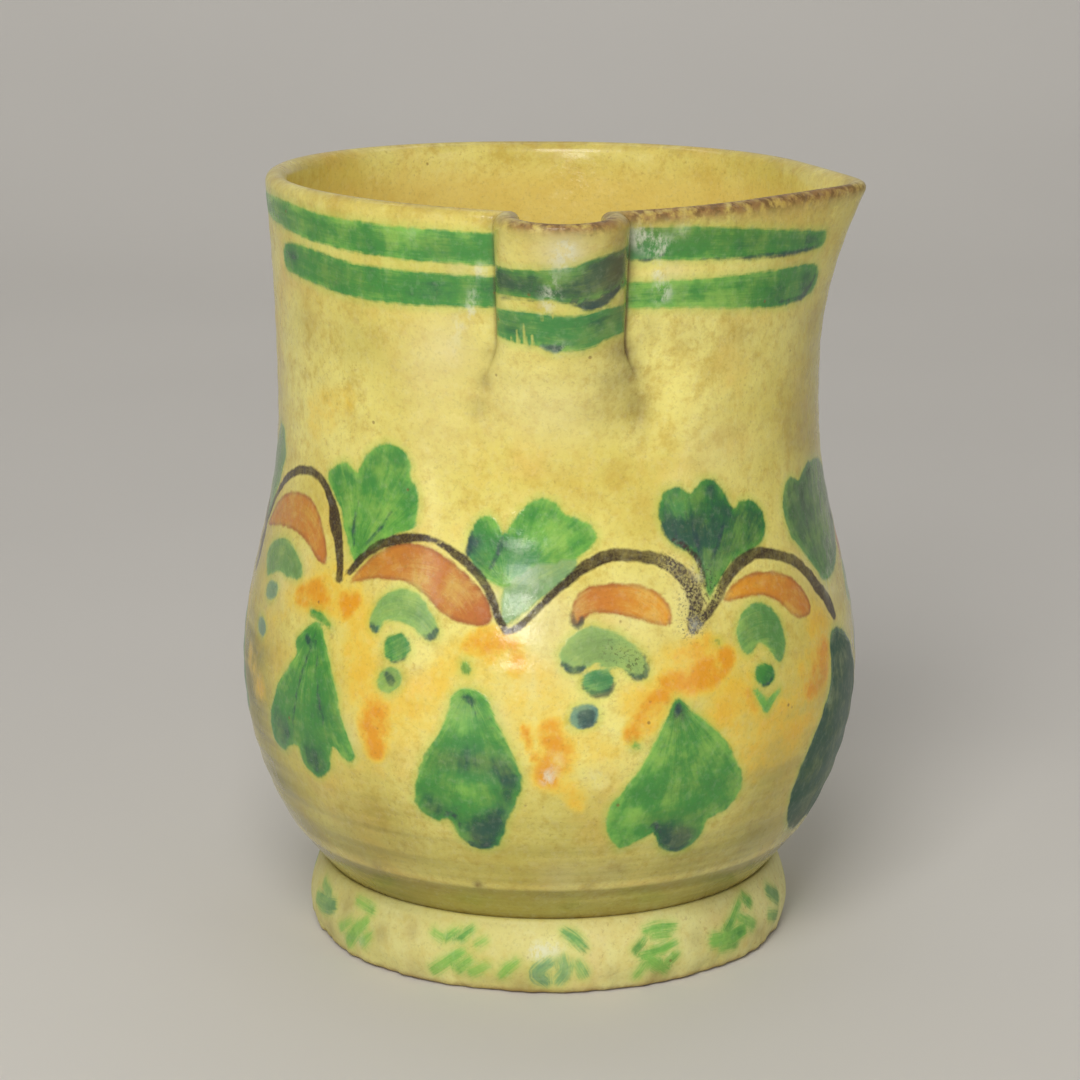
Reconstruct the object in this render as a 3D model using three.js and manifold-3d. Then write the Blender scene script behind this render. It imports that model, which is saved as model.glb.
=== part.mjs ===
// Maiolica jug, made the way a potter makes it: a thrown belly set in a dished foot, a collar neck luted
// on its shoulder, a pouring lip luted into a notch at the front of the neck, and a pulled strap handle.
// Millimetres, +Z up. Origin at the centre of the flat underside. The pouring lip points along -Y.
import * as THREE from "three";
import { mergeVertices } from "three/addons/utils/BufferGeometryUtils.js";
import Module from "manifold-3d";

// Foot
const footBaseRadius = 54; // flat underside
const footRadius = 58; // widest
const footWidestHeight = 6.5;
const footHeight = 17.5; // top edge, where the belly leaves the foot
const footEdge = 1.6; // thickness of that top edge
const footBevel = 1; // height of the worn bottom edge
const dishHeight = 8.6; // lowest point of the belly above the table

// Belly
const seatRadius = 54; // belly where it leaves the foot
const seatBend = 9; // the trimmed waist runs on this far into the foot before it turns to the bowl
const ridgeRadius = 62.8; // turned ridge above the foot
const ridgeRise = 10.5; // foot edge to ridge
const bellyRadius = 73.5; // widest
const bellyRise = 38; // ridge to widest
const shoulderRadius = 65.1; // joint with the neck
const shoulderRise = 46; // widest to shoulder joint
const bellyWall = 6;
const floorThickness = 7;
const floorBend = 12; // the inside wall runs on this far below the ridge before it turns to the floor

// Neck
const neckRadius = 63.9; // narrowest
const waistRise = 18.5; // shoulder joint to narrowest
const rimRadius = 66.3;
const collarRise = 50; // narrowest to rim
const neckWall = 5;
const rimLift = 2.3; // the front of the rim stands above its back
const sideLift = 1; // the -X side of the rim stands above the +X side
const cornerReach = 12; // the rim is drawn out to a corner on the +X side, sharp before it is blunted
const cornerAngle = 76; // degrees from the pouring lip towards +X
const cornerBlunt = 4; // degrees of rounding at that corner

// Pouring lip
const lipWidth = 29;
const lipReach = 16; // beyond the neck, at the rim
const lipLean = 1.4; // 1 leans out evenly, more leans out late
const lipDip = 0.5; // the rim dips at the lip
const lipDepth = 47.5; // rim down to where the lip dies into the neck
const lipCreaseDepth = 27; // rim down to where its side creases soften
const lipSpread = 9; // extra width at its soft lower end
const lipCrease = 0.5; // 0.5 meets the neck in a sharp crease, as it does near the rim
const lipFade = 2; // 2 dies into the neck softly, as it does at its lower end
const lipFlange = 2; // neck wall that the lip keeps on each side
const lipSeatDepth = 36; // rim down to the bottom of the notch
const dentDepth = 2.5; // thumb dents at the foot of each crease
const dentDrop = 40; // rim down to the dents
const dentSpacing = 40; // between their centres
const dentWidth = 15;
const dentHeight = 26;

// Handle
const strapWidth = 30; // at the upper root
const strapLowerWidth = 22; // at the lower root
const strapThickness = 9.5;
const strapSquareness = 0.6; // 1 is an oval section, 0 a square one
const upperRootDrop = 31; // below the rim
const lowerRootDrop = 34; // below the shoulder joint
const handleReach = 46; // pull of the strap away from the wall
const handleSpring = 26; // rise of the strap from its upper root
const handleReturn = 18; // rise of the strap from its lower root
const lutingRoll = 4.5; // clay rolled round each root
const lutingProud = 6; // how far that clay stands off the wall

const slipGap = 0.3; // slip layer between luted faces

// Slopes of the turned outline, as radius gained per height
const ridgeSlope = 0.6; // just above the ridge
const shoulderSlope = -0.16;
const rimSlope = 0.1;

// Facets
const turnFacets = 48;
const lipFacets = 18;
const rimFacets = 6;
const curveSteps = 7;
const waistSteps = 3;
const flareSteps = 4;
const floorSteps = 5;
const strapFacets = 14;
const strapSteps = 18;
const rollFacets = 20;
const mergeDistance = 1e-4;

// Heights, stacked from the table up
const ridgeHeight = footHeight + ridgeRise;
const bellyHeight = ridgeHeight + bellyRise;
const shoulderHeight = bellyHeight + shoulderRise;
const neckHeight = shoulderHeight + waistRise;
const rimHeight = neckHeight + collarRise;

const wasm = await Module();
wasm.setup();

const radians = THREE.MathUtils.degToRad;
const degrees = THREE.MathUtils.radToDeg;
const { lerp, clamp, smoothstep } = THREE.MathUtils;
const point = (radius, height) => new THREE.Vector2(radius, height);

// Turned outlines, as radius and height
function arcTo(from, leave, arrive, to, steps) {
  return new THREE.CubicBezierCurve(from, leave, arrive, to).getPoints(steps);
}

// A turned curve that leaves along one slope and arrives along another
function turned(from, to, leaveSlope, arriveSlope, steps) {
  const third = (to.y - from.y) / 3;
  const leave = point(from.x + leaveSlope * third, from.y + third);
  const arrive = point(to.x - arriveSlope * third, to.y - third);
  return arcTo(from, leave, arrive, to, steps);
}

function joined(...runs) {
  return runs.flatMap((run, index) => (index ? run.slice(1) : run));
}

// The line moved sideways: a positive distance goes to the right of its direction
function offset(line, distance) {
  return line.map((here, index) => {
    const before = line[Math.max(index - 1, 0)];
    const after = line[Math.min(index + 1, line.length - 1)];
    const along = after.clone().sub(before).normalize();
    const far = typeof distance === "function" ? distance(here) : distance;
    return point(here.x + along.y * far, here.y - along.x * far);
  });
}

const ridge = point(ridgeRadius, ridgeHeight);
const widest = point(bellyRadius, bellyHeight);
const shoulder = point(shoulderRadius, shoulderHeight);
const narrowest = point(neckRadius, neckHeight);
const rim = point(rimRadius, rimHeight);

const bellyOutline = joined(
  turned(ridge, widest, ridgeSlope, 0, curveSteps),
  turned(widest, shoulder, 0, shoulderSlope, curveSteps),
);
const neckOutline = joined(
  turned(shoulder, narrowest, shoulderSlope, 0, waistSteps),
  turned(narrowest, rim, 0, rimSlope, curveSteps),
);
const outline = joined(bellyOutline, neckOutline);

function outlineRadius(height) {
  const next = outline.findIndex((here) => here.y >= height);
  if (next <= 0) {
    return outline.at(next).x;
  }
  const below = outline[next - 1];
  const above = outline[next];
  return lerp(below.x, above.x, (height - below.y) / (above.y - below.y));
}

// Belly underside: the trimmed waist below the ridge runs on into the bowl that lies in the foot
const seat = point(seatRadius, footHeight);
const waistEnd = seat.clone().sub(ridge).setLength(seatBend).add(seat);
const bowl = arcTo(seat, waistEnd, point(seatRadius / 2, dishHeight), point(0, dishHeight), curveSteps);

// Geometry from points and triangles
function meshGeometry(vertices, triangles) {
  const geometry = new THREE.BufferGeometry();
  geometry.setAttribute("position", new THREE.BufferAttribute(new Float32Array(vertices), 3));
  geometry.setIndex(new THREE.BufferAttribute(new Uint32Array(triangles), 1));
  return geometry;
}

function lathe(profile) {
  return new THREE.LatheGeometry(profile, turnFacets).rotateX(Math.PI / 2);
}

// Closed rings of equal length, skinned in order: round again to the first ring, or capped at both ends
function skin(rings, capped) {
  const count = rings[0].length;
  const vertices = rings.flat().flatMap((here) => here.toArray());
  const triangles = [];
  const spans = capped ? rings.length - 1 : rings.length;
  for (let ring = 0; ring < spans; ring += 1) {
    const low = ring * count;
    const high = ((ring + 1) % rings.length) * count;
    for (let k = 0; k < count; k += 1) {
      const next = (k + 1) % count;
      triangles.push(low + k, low + next, high + next, low + k, high + next, high + k);
    }
  }
  if (capped) {
    const top = (rings.length - 1) * count;
    for (let k = 1; k < count - 1; k += 1) {
      triangles.push(0, k + 1, k, top, top + k, top + k + 1);
    }
  }
  return meshGeometry(vertices, triangles);
}

function solid(geometry) {
  const plain = geometry.clone();
  plain.deleteAttribute("normal");
  plain.deleteAttribute("uv");
  const merged = mergeVertices(plain, mergeDistance);
  const mesh = new wasm.Mesh({
    numProp: 3,
    vertProperties: new Float32Array(merged.attributes.position.array),
    triVerts: new Uint32Array(merged.index.array),
  });
  return new wasm.Manifold(mesh);
}

function geometryOf(manifold) {
  const { vertProperties, triVerts } = manifold.getMesh();
  return meshGeometry(vertProperties, triVerts);
}

// Foot: a saucer with a flat underside, dished on top for the bowl of the belly
function footGeometry() {
  const dish = offset(bowl, -slipGap);
  dish.at(-1).x = 0;
  const top = point(dish[0].x + footEdge, footHeight - footEdge);
  const wide = point(footRadius, footWidestHeight);
  const flare = turned(wide, top, 0, 0, flareSteps);
  const bevel = point((footBaseRadius + footRadius) / 2, footBevel);
  const under = [point(0, 0), point(footBaseRadius, 0), bevel];
  return lathe([...under, ...flare, ...dish]);
}

// Belly: a round-bottomed bowl with a trimmed waist, open at the shoulder joint
function bellyGeometry() {
  const wallAt = (here) => lerp(bellyWall, neckWall, (here.y - ridgeHeight) / (shoulderHeight - ridgeHeight));
  const coarse = bellyOutline.filter((here, index) => index % 2 === 0);
  const inside = offset(coarse, (here) => -wallAt(here)).reverse();
  inside[0] = point(shoulderRadius - neckWall, shoulderHeight);
  const lowest = inside.at(-1);
  const drop = lowest.clone().sub(inside.at(-2)).setLength(floorBend).add(lowest);
  const floorHeight = dishHeight + floorThickness;
  const floor = arcTo(lowest, drop, point(seatRadius / 2, floorHeight), point(0, floorHeight), floorSteps);
  return lathe([...bowl.slice().reverse(), ...bellyOutline, ...inside, ...floor.slice(1)]);
}

// Neck wall with the lip and its thumb dents, before the lip is parted from it.
// An angle is in degrees from the pouring lip towards +X, and an inset goes into the wall.
function aboveNeck(height) {
  return clamp((height - neckHeight) / collarRise, 0, 1);
}

function lipHalfAngle(height, inset) {
  const soft = smoothstep(rimHeight - height, lipCreaseDepth, lipDepth);
  return degrees((lipWidth / 2 + lipSpread * soft - inset) / rimRadius);
}

function wallRadius(angle, height, inset) {
  const round = outlineRadius(height) - inset;
  const drawn = cornerReach * aboveNeck(height) ** 2;
  const tangentAngle = degrees(Math.acos(round / (round + drawn)));
  const fromCorner = Math.hypot(angle - cornerAngle, cornerBlunt);
  const pulled = round / Math.cos(radians(Math.max(tangentAngle - fromCorner, 0)));

  const lipShare = clamp(1 - (rimHeight - height) / lipDepth, 0, 1);
  const soft = smoothstep(rimHeight - height, lipCreaseDepth, lipDepth);
  const across = clamp(1 - (angle / lipHalfAngle(height, inset)) ** 2, 0, 1);
  const lobe = lipReach * lipShare ** lipLean * across ** lerp(lipCrease, lipFade, soft);

  const fromDent = (Math.abs(radians(angle)) * neckRadius - dentSpacing / 2) / (dentWidth / 2);
  const dentLevel = (height - rimHeight + dentDrop) / (dentHeight / 2);
  const dent = dentDepth * Math.exp(-(fromDent ** 2) - dentLevel ** 2);
  return pulled + lobe - dent;
}

// The thrown rim isn't level
function rimRise(angle) {
  const front = (rimLift * (1 + Math.cos(radians(angle)))) / 2;
  const side = sideLift * Math.max(-Math.sin(radians(angle)), 0);
  const dip = lipDip * Math.exp(-(((radians(angle) * rimRadius) / lipWidth) ** 2));
  return front + side - dip;
}

function wallPoint(angle, height, inset) {
  const radius = wallRadius(angle, height, inset);
  const raised = height + rimRise(angle) * aboveNeck(height);
  return new THREE.Vector3(radius * Math.sin(radians(angle)), -radius * Math.cos(radians(angle)), raised);
}

function wallRing(height, inset) {
  const half = lipHalfAngle(height, inset);
  const angles = [];
  for (let k = 0; k < lipFacets; k += 1) {
    angles.push(half * Math.sin(Math.PI * (k / lipFacets - 0.5)));
  }
  for (let k = 0; k < turnFacets; k += 1) {
    angles.push(lerp(half, 360 - half, k / turnFacets));
  }
  return angles.map((angle) => wallPoint(angle > 180 ? angle - 360 : angle, height, inset));
}

function neckWallSolid() {
  const rounding = neckWall / 2;
  const top = rimHeight - rounding;
  const heights = neckOutline.map((here) => here.y).filter((height) => height < top - rounding);
  const rings = heights.map((height) => wallRing(height, 0));
  for (let k = 0; k <= rimFacets; k += 1) {
    const turn = (Math.PI * k) / rimFacets;
    rings.push(wallRing(top + rounding * Math.sin(turn), rounding * (1 - Math.cos(turn))));
  }
  heights.reverse().forEach((height) => rings.push(wallRing(height, neckWall)));
  return solid(skin(rings, false));
}

// Tongue-shaped block through the front of the neck: straight sides and a round bottom
function lipBlock(clearance) {
  const half = lipWidth / 2 + lipFlange;
  const centre = rimHeight - lipSeatDepth + half;
  const above = rimHeight + lipReach;
  const tongue = new THREE.Shape();
  tongue.moveTo(half + clearance, above);
  tongue.lineTo(-half - clearance, above);
  tongue.lineTo(-half - clearance, centre);
  tongue.absarc(0, centre, half + clearance, Math.PI, 2 * Math.PI, false);
  const reach = rimRadius + 2 * lipReach;
  const block = new THREE.ExtrudeGeometry(tongue, { depth: reach, bevelEnabled: false, curveSegments: lipFacets });
  return solid(block.rotateX(Math.PI / 2));
}

// Handle: a strap that springs from the neck and returns to the belly
const upperRootHeight = rimHeight - upperRootDrop;
const lowerRootHeight = shoulderHeight - lowerRootDrop;
const upperWall = outlineRadius(upperRootHeight);
const lowerWall = outlineRadius(lowerRootHeight);
const handlePath = new THREE.CubicBezierCurve3(
  new THREE.Vector3(0, upperWall - neckWall / 2, upperRootHeight),
  new THREE.Vector3(0, upperWall + handleReach, upperRootHeight + handleSpring),
  new THREE.Vector3(0, lowerWall + handleReach, lowerRootHeight + handleReturn),
  new THREE.Vector3(0, lowerWall - bellyWall / 2, lowerRootHeight),
);

function strapSolid(clearance) {
  const across = new THREE.Vector3(1, 0, 0);
  const rings = [];
  for (let step = 0; step <= strapSteps; step += 1) {
    const share = step / strapSteps;
    const centre = handlePath.getPointAt(share);
    const out = handlePath.getTangentAt(share).cross(across);
    const halfWidth = lerp(strapWidth, strapLowerWidth, share) / 2 + clearance;
    const halfThickness = strapThickness / 2 + clearance;
    const ring = [];
    for (let k = 0; k < strapFacets; k += 1) {
      const turn = (2 * Math.PI * k) / strapFacets;
      const side = halfWidth * Math.sign(Math.cos(turn)) * Math.abs(Math.cos(turn)) ** strapSquareness;
      const proud = halfThickness * Math.sin(turn);
      ring.push(centre.clone().addScaledVector(across, side).addScaledVector(out, proud));
    }
    rings.push(ring);
  }
  return solid(skin(rings, true));
}

// The jug's outside as one block, so that what is luted on stops a slip layer short of it
function outsideBlock() {
  const grown = offset(outline, slipGap);
  return solid(lathe([point(0, ridgeHeight), ...grown, point(0, rimHeight)]));
}

// Clay rolled round a root of the strap and pressed on to the wall
function lutingSolid(height, wall, width) {
  const roll = new THREE.SphereGeometry(1, rollFacets, rollFacets / 2);
  roll.scale(width / 2 + lutingRoll, lutingProud, strapThickness / 2 + lutingRoll);
  roll.translate(0, wall, height);
  return solid(roll).subtract(outsideBlock()).subtract(strapSolid(slipGap));
}

const jug = new THREE.Group();

function addPiece(name, geometry, colour, roughness) {
  const glaze = new THREE.MeshStandardMaterial({ color: colour, roughness, metalness: 0 });
  const piece = new THREE.Mesh(geometry, glaze);
  piece.name = name;
  jug.add(piece);
}

const paintedYellow = 0xd2b95a;
const footYellow = 0xd8c472;
const plainYellow = 0xcdb255;
const glazeRoughness = 0.25;

const wall = neckWallSolid();
const block = outsideBlock();
addPiece("foot", footGeometry(), footYellow, glazeRoughness);
addPiece("belly", bellyGeometry(), paintedYellow, glazeRoughness);
addPiece("neck", geometryOf(wall.subtract(lipBlock(slipGap))), paintedYellow, glazeRoughness);
addPiece("pouring_lip", geometryOf(wall.intersect(lipBlock(0))), paintedYellow, glazeRoughness);
addPiece("handle_strap", geometryOf(strapSolid(0).subtract(block)), plainYellow, glazeRoughness);
addPiece(
  "handle_upper_joint",
  geometryOf(lutingSolid(upperRootHeight, upperWall, strapWidth)),
  plainYellow,
  glazeRoughness,
);
addPiece(
  "handle_lower_joint",
  geometryOf(lutingSolid(lowerRootHeight, lowerWall, strapLowerWidth)),
  plainYellow,
  glazeRoughness,
);

export default jug;
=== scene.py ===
import math
import random
import bpy
import numpy as np
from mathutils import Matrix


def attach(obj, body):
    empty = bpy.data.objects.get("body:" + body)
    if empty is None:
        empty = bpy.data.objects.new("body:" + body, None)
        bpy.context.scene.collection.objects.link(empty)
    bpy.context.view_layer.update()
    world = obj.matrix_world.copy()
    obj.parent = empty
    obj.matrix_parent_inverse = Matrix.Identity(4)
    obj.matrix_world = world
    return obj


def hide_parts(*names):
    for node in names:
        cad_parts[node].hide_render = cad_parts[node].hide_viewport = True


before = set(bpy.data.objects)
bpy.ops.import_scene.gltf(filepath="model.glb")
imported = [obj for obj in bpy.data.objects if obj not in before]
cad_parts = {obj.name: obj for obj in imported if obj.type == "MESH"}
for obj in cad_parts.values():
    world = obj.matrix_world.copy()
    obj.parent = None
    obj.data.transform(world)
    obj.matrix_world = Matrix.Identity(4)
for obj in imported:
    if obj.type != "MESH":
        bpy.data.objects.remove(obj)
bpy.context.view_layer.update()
print("frame loaded:", sorted(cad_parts))

mm = 0.001
tiny = 1e-9

# sizes of the thrown clay in millimetres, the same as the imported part
clay = {
    "footBase": 54, "footWide": 58, "footWideAt": 6.5, "footTop": 17.5, "footEdge": 1.6, "dishAt": 8.6,
    "seat": 54, "seatBend": 9, "ridge": 62.8, "ridgeAt": 28, "belly": 73.5, "bellyAt": 66,
    "shoulder": 65.1, "shoulderAt": 112, "neck": 63.9, "neckAt": 130.5, "rim": 66.3, "rimAt": 180.5,
    "ridgeSlope": 0.6, "shoulderSlope": -0.16, "rimSlope": 0.1,
    "bellyWall": 6, "neckWall": 5, "floorAt": 15.6, "floorBend": 12,
}
wallRows = (46, 54, 22, 58)  # mesh rows from the ridge to the belly, the shoulder, the neck and the rim
bowlRows = 9

# the mouth: uneven rim, pulled corner, pouring lip and thumb dents
mouth = {
    "rimLift": 2.3, "sideLift": 1, "cornerReach": 12, "cornerAngle": 76, "cornerBlunt": 4,
    "lipWidth": 29, "lipReach": 16, "lipLean": 1.4, "lipDip": 0.5, "lipDepth": 47.5, "creaseDepth": 27,
    "lipSpread": 9, "lipSeat": 36, "crease": 0.5, "fade": 2,
    "dentDepth": 2.5, "dentDrop": 40, "dentSpacing": 40, "dentWidth": 15, "dentHeight": 26,
}

# a hand-thrown wall is never quite round, and the fingers leave faint rings
throwing = {
    "oval": 0.22, "ovalStart": 0.7, "lobes": 0.16, "lobesStart": 1.1, "lobesTwist": 29,
    "ring": 0.05, "ringPitch": 0.95, "ringSway": 0.8, "ringsFade": (40, 70), "ringsFrom": (29, 34),
    "startsFrom": (19, 40),
}


def bezier(a, b, c, d, steps):
    t = np.linspace(0, 1, steps + 1)[:, None]
    a, b, c, d = (np.array(p, float) for p in (a, b, c, d))
    return a * (1 - t) ** 3 + 3 * b * t * (1 - t) ** 2 + 3 * c * t * t * (1 - t) + d * t ** 3


def turned(a, b, leave, arrive, steps):  # radius and height, leaving and arriving along given slopes
    third = (b[1] - a[1]) / 3
    return bezier(a, (a[0] + leave * third, a[1] + third), (b[0] - arrive * third, b[1] - third), b, steps)


def smooth(x, low, high):
    t = np.clip((x - low) / (high - low), 0, 1)
    return t * t * (3 - 2 * t)


def offsetLine(line, far):
    along = np.gradient(line, axis=0)
    along /= np.linalg.norm(along, axis=1)[:, None]
    return line + np.stack([along[:, 1], -along[:, 0]], 1) * np.reshape(far, (-1, 1))


ridgePoint = (clay["ridge"], clay["ridgeAt"])
bellyPoint = (clay["belly"], clay["bellyAt"])
shoulderPoint = (clay["shoulder"], clay["shoulderAt"])
neckPoint = (clay["neck"], clay["neckAt"])
rimPoint = (clay["rim"], clay["rimAt"])
bellyLine = np.vstack([turned(ridgePoint, bellyPoint, clay["ridgeSlope"], 0, wallRows[0]),
                       turned(bellyPoint, shoulderPoint, 0, clay["shoulderSlope"], wallRows[1])[1:]])
neckLine = np.vstack([turned(shoulderPoint, neckPoint, clay["shoulderSlope"], 0, wallRows[2]),
                      turned(neckPoint, rimPoint, 0, clay["rimSlope"], wallRows[3])[1:]])
wallLine = np.vstack([bellyLine, neckLine[1:]])


def outlineAt(z):
    return np.interp(z, wallLine[:, 1], wallLine[:, 0])


def unevenness(phi, z):
    turn = np.radians(phi)
    oval = throwing["oval"] * np.sin(2 * turn + throwing["ovalStart"])
    oval = oval + throwing["lobes"] * np.sin(3 * turn + z / throwing["lobesTwist"] + throwing["lobesStart"])
    deep = throwing["ring"] + throwing["ring"] * (1 - smooth(z, *throwing["ringsFade"]))
    rings = deep * np.sin(z * throwing["ringPitch"] + throwing["ringSway"] * np.sin(turn))
    return (oval + rings * smooth(z, *throwing["ringsFrom"])) * smooth(z, *throwing["startsFrom"])


def halfLip(z, inset):
    soft = smooth(clay["rimAt"] - z, mouth["creaseDepth"], mouth["lipDepth"])
    return np.degrees((mouth["lipWidth"] / 2 + mouth["lipSpread"] * soft - inset) / clay["rim"])


def upCollar(z):  # 0 at the narrowest of the neck, 1 at the rim
    return np.clip((z - clay["neckAt"]) / (clay["rimAt"] - clay["neckAt"]), 0, 1)


def wallRadius(phi, z, inset):
    around = outlineAt(z) - inset
    tangent = np.degrees(np.arccos(around / (around + mouth["cornerReach"] * upCollar(z) ** 2)))
    fromCorner = np.hypot(phi - mouth["cornerAngle"], mouth["cornerBlunt"])
    pulled = around / np.cos(np.radians(np.maximum(tangent - fromCorner, 0)))
    drop = clay["rimAt"] - z
    soft = smooth(drop, mouth["creaseDepth"], mouth["lipDepth"])
    across = np.clip(1 - (phi / halfLip(z, inset)) ** 2, 0, 1)
    lobe = mouth["lipReach"] * np.clip(1 - drop / mouth["lipDepth"], 0, 1) ** mouth["lipLean"]
    lobe = lobe * across ** (mouth["crease"] + (mouth["fade"] - mouth["crease"]) * soft)
    fromDent = (np.abs(np.radians(phi)) * clay["neck"] - mouth["dentSpacing"] / 2) / (mouth["dentWidth"] / 2)
    level = (mouth["dentDrop"] - drop) / (mouth["dentHeight"] / 2)
    return pulled + lobe - mouth["dentDepth"] * np.exp(-fromDent ** 2 - level ** 2)


def rimRise(phi):
    turn = np.radians(phi)
    dip = mouth["lipDip"] * np.exp(-(turn * clay["rim"] / mouth["lipWidth"]) ** 2)
    return mouth["rimLift"] * (1 + np.cos(turn)) / 2 + mouth["sideLift"] * np.maximum(-np.sin(turn), 0) - dip


def wallPoints(phi, z, inset):  # phi in degrees from the pouring lip towards +X
    r = wallRadius(phi, z, inset) + unevenness(phi, z)
    turn = np.radians(phi)
    return np.stack([r * np.sin(turn), -r * np.cos(turn), z + rimRise(phi) * upCollar(z)], -1)


# node and mesh helpers

def plug(tree, socket, value):
    if isinstance(value, bpy.types.NodeSocket):
        tree.links.new(value, socket)
    else:
        socket.default_value = value


def addNode(tree, kind, inputs=None, **settings):
    made = tree.nodes.new(kind)
    for name, value in settings.items():
        setattr(made, name, value)
    for name, value in (inputs or {}).items():
        plug(tree, made.inputs[name], value)
    return made


def maths(tree, operation, a, b=0.0):
    return addNode(tree, "ShaderNodeMath", {0: a, 1: b}, operation=operation).outputs[0]


def newTree(name, **inputs):
    tree = bpy.data.node_groups.new(name, "GeometryNodeTree")
    for kind, labels in {"Geometry": ["Geometry"], **inputs}.items():
        for label in labels:
            tree.interface.new_socket(name=label, in_out="INPUT", socket_type="NodeSocket" + kind)
    tree.interface.new_socket(name="Geometry", in_out="OUTPUT", socket_type="NodeSocketGeometry")
    source = tree.nodes.new("NodeGroupInput")
    return tree, source.outputs


def finishTree(tree, geometry, material):
    smoothed = addNode(tree, "GeometryNodeSetShadeSmooth", {"Geometry": geometry}).outputs[0]
    real = addNode(tree, "GeometryNodeRealizeInstances", {"Geometry": smoothed}).outputs[0]
    dressed = addNode(tree, "GeometryNodeSetMaterial", {"Geometry": real, "Material": material}).outputs[0]
    sink = tree.nodes.new("NodeGroupOutput")
    tree.links.new(dressed, sink.inputs[0])


def runTree(host, tree, values):  # the tree's result as a plain mesh on the same object
    modifier = host.modifiers.new(tree.name, "NODES")
    modifier.node_group = tree
    for item in tree.interface.items_tree:
        if item.in_out == "INPUT" and item.name in values:
            modifier[item.identifier] = values[item.name]
    bpy.context.view_layer.update()
    graph = bpy.context.evaluated_depsgraph_get()
    made = bpy.data.meshes.new_from_object(host.evaluated_get(graph), depsgraph=graph)
    host.modifiers.remove(modifier)
    old = host.data
    host.data = made
    made.name = host.name
    bpy.data.meshes.remove(old)
    outwards(made)


def newObject(name, points, faces=(), material=None):
    mesh = bpy.data.meshes.new(name)
    mesh.from_pydata([tuple(p) for p in points], [], [tuple(f) for f in faces])
    mesh.update()
    if material:
        mesh.materials.append(material)
        mesh.polygons.foreach_set("use_smooth", np.ones(len(mesh.polygons), bool))
    made = bpy.data.objects.new(name, mesh)
    bpy.context.scene.collection.objects.link(made)
    return made


def pointsOf(mesh):
    flat = np.empty(len(mesh.vertices) * 3)
    mesh.vertices.foreach_get("co", flat)
    return flat.reshape(-1, 3)


def outwards(mesh):  # turns the faces round if the closed mesh has its inside out
    mesh.calc_loop_triangles()
    corners = np.empty(len(mesh.loop_triangles) * 3, int)
    mesh.loop_triangles.foreach_get("vertices", corners)
    a, b, c = pointsOf(mesh)[corners].reshape(-1, 3, 3).transpose(1, 0, 2)
    if np.einsum("ij,ij->", a, np.cross(b, c)) < 0:
        mesh.flip_normals()


# painted decoration, read as degrees from the lip and height in mm
# a stroke adds the brush radius, a blob is a closed outline that starts where the brush was set down
# leaf paint says how dark, how blue and how thin it is
# a spot says its degrees, height, radius and strength

neckBands = [  # green bands to the left and right of the lip
    (.3, 0, 0, [(-90, 174.4, 2), (-70, 174, 3), (-50, 172.7, 3.3), (-30, 172.4, 3.4), (-11, 172.6, 3.5)]),
    (.4, 0, 0, [(-68.5, 164.6, 3), (-60, 164.6, 3.7), (-45, 163.1, 3.7), (-30, 163, 3.6),
        (-11, 163.6, 3.2)]),
    (.4, 0, 0, [(8, 173.8, 3.3), (20, 173.4, 3.5), (30, 172.6, 3.5), (45, 171, 3), (58, 169.6, 2.4),
        (64.5, 169.2, 2)]),
    (.3, 0, 0, [(8, 162.7, 2.6), (20, 162.5, 2.9), (30, 161.9, 3.2), (45, 160.8, 4), (56, 160.3, 4.1),
        (63.5, 160.4, 3.4)]),
]
lipBands = [  # their ends on the lip, a little lower
    (.47, 0, .04, [(-16, 167, 3), (-8, 166.9, 3.1), (-2, 167.1, 3.5), (3, 167.2, 4.3), (7, 168.9, 4.5),
        (15, 171, 4)]),
    (.35, .1, 0, [(-16, 158.4, 2.4), (-9, 157.2, 3.5), (-4, 156.8, 3.7), (0, 156, 4), (4, 156.3, 3.9),
        (8, 157.8, 3.5), (15, 158.8, 3)]),
]
lipGaps = [  # bare bristle marks in the lower lip band
    [(-8.1, 156.5, .15), (-7.8, 152.6, .45)], [(-6.9, 158, .2), (-6.4, 152.4, .5)],
    [(-5.3, 155.5, .2), (-5, 152, .4)], [(-9.2, 155, .15), (-9, 153, .3)],
    [(-3.6, 161, .3), (-3.4, 158.8, .2)], [(-1.6, 161.2, .3), (-1.5, 159.4, .2)],
]
lipDark = [  # paint that gathered below the lip bands
    (.95, .15, .1, [(1.5, 163.2, .5), (4.2, 162.5, 1.1), (7, 163.2, 1.2), (10, 166, .8)]),
    (.6, .8, .1, [(-3.4, 153.6, .8), (-1.4, 152.9, 1.3), (.6, 153.4, .9)]),
]
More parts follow.
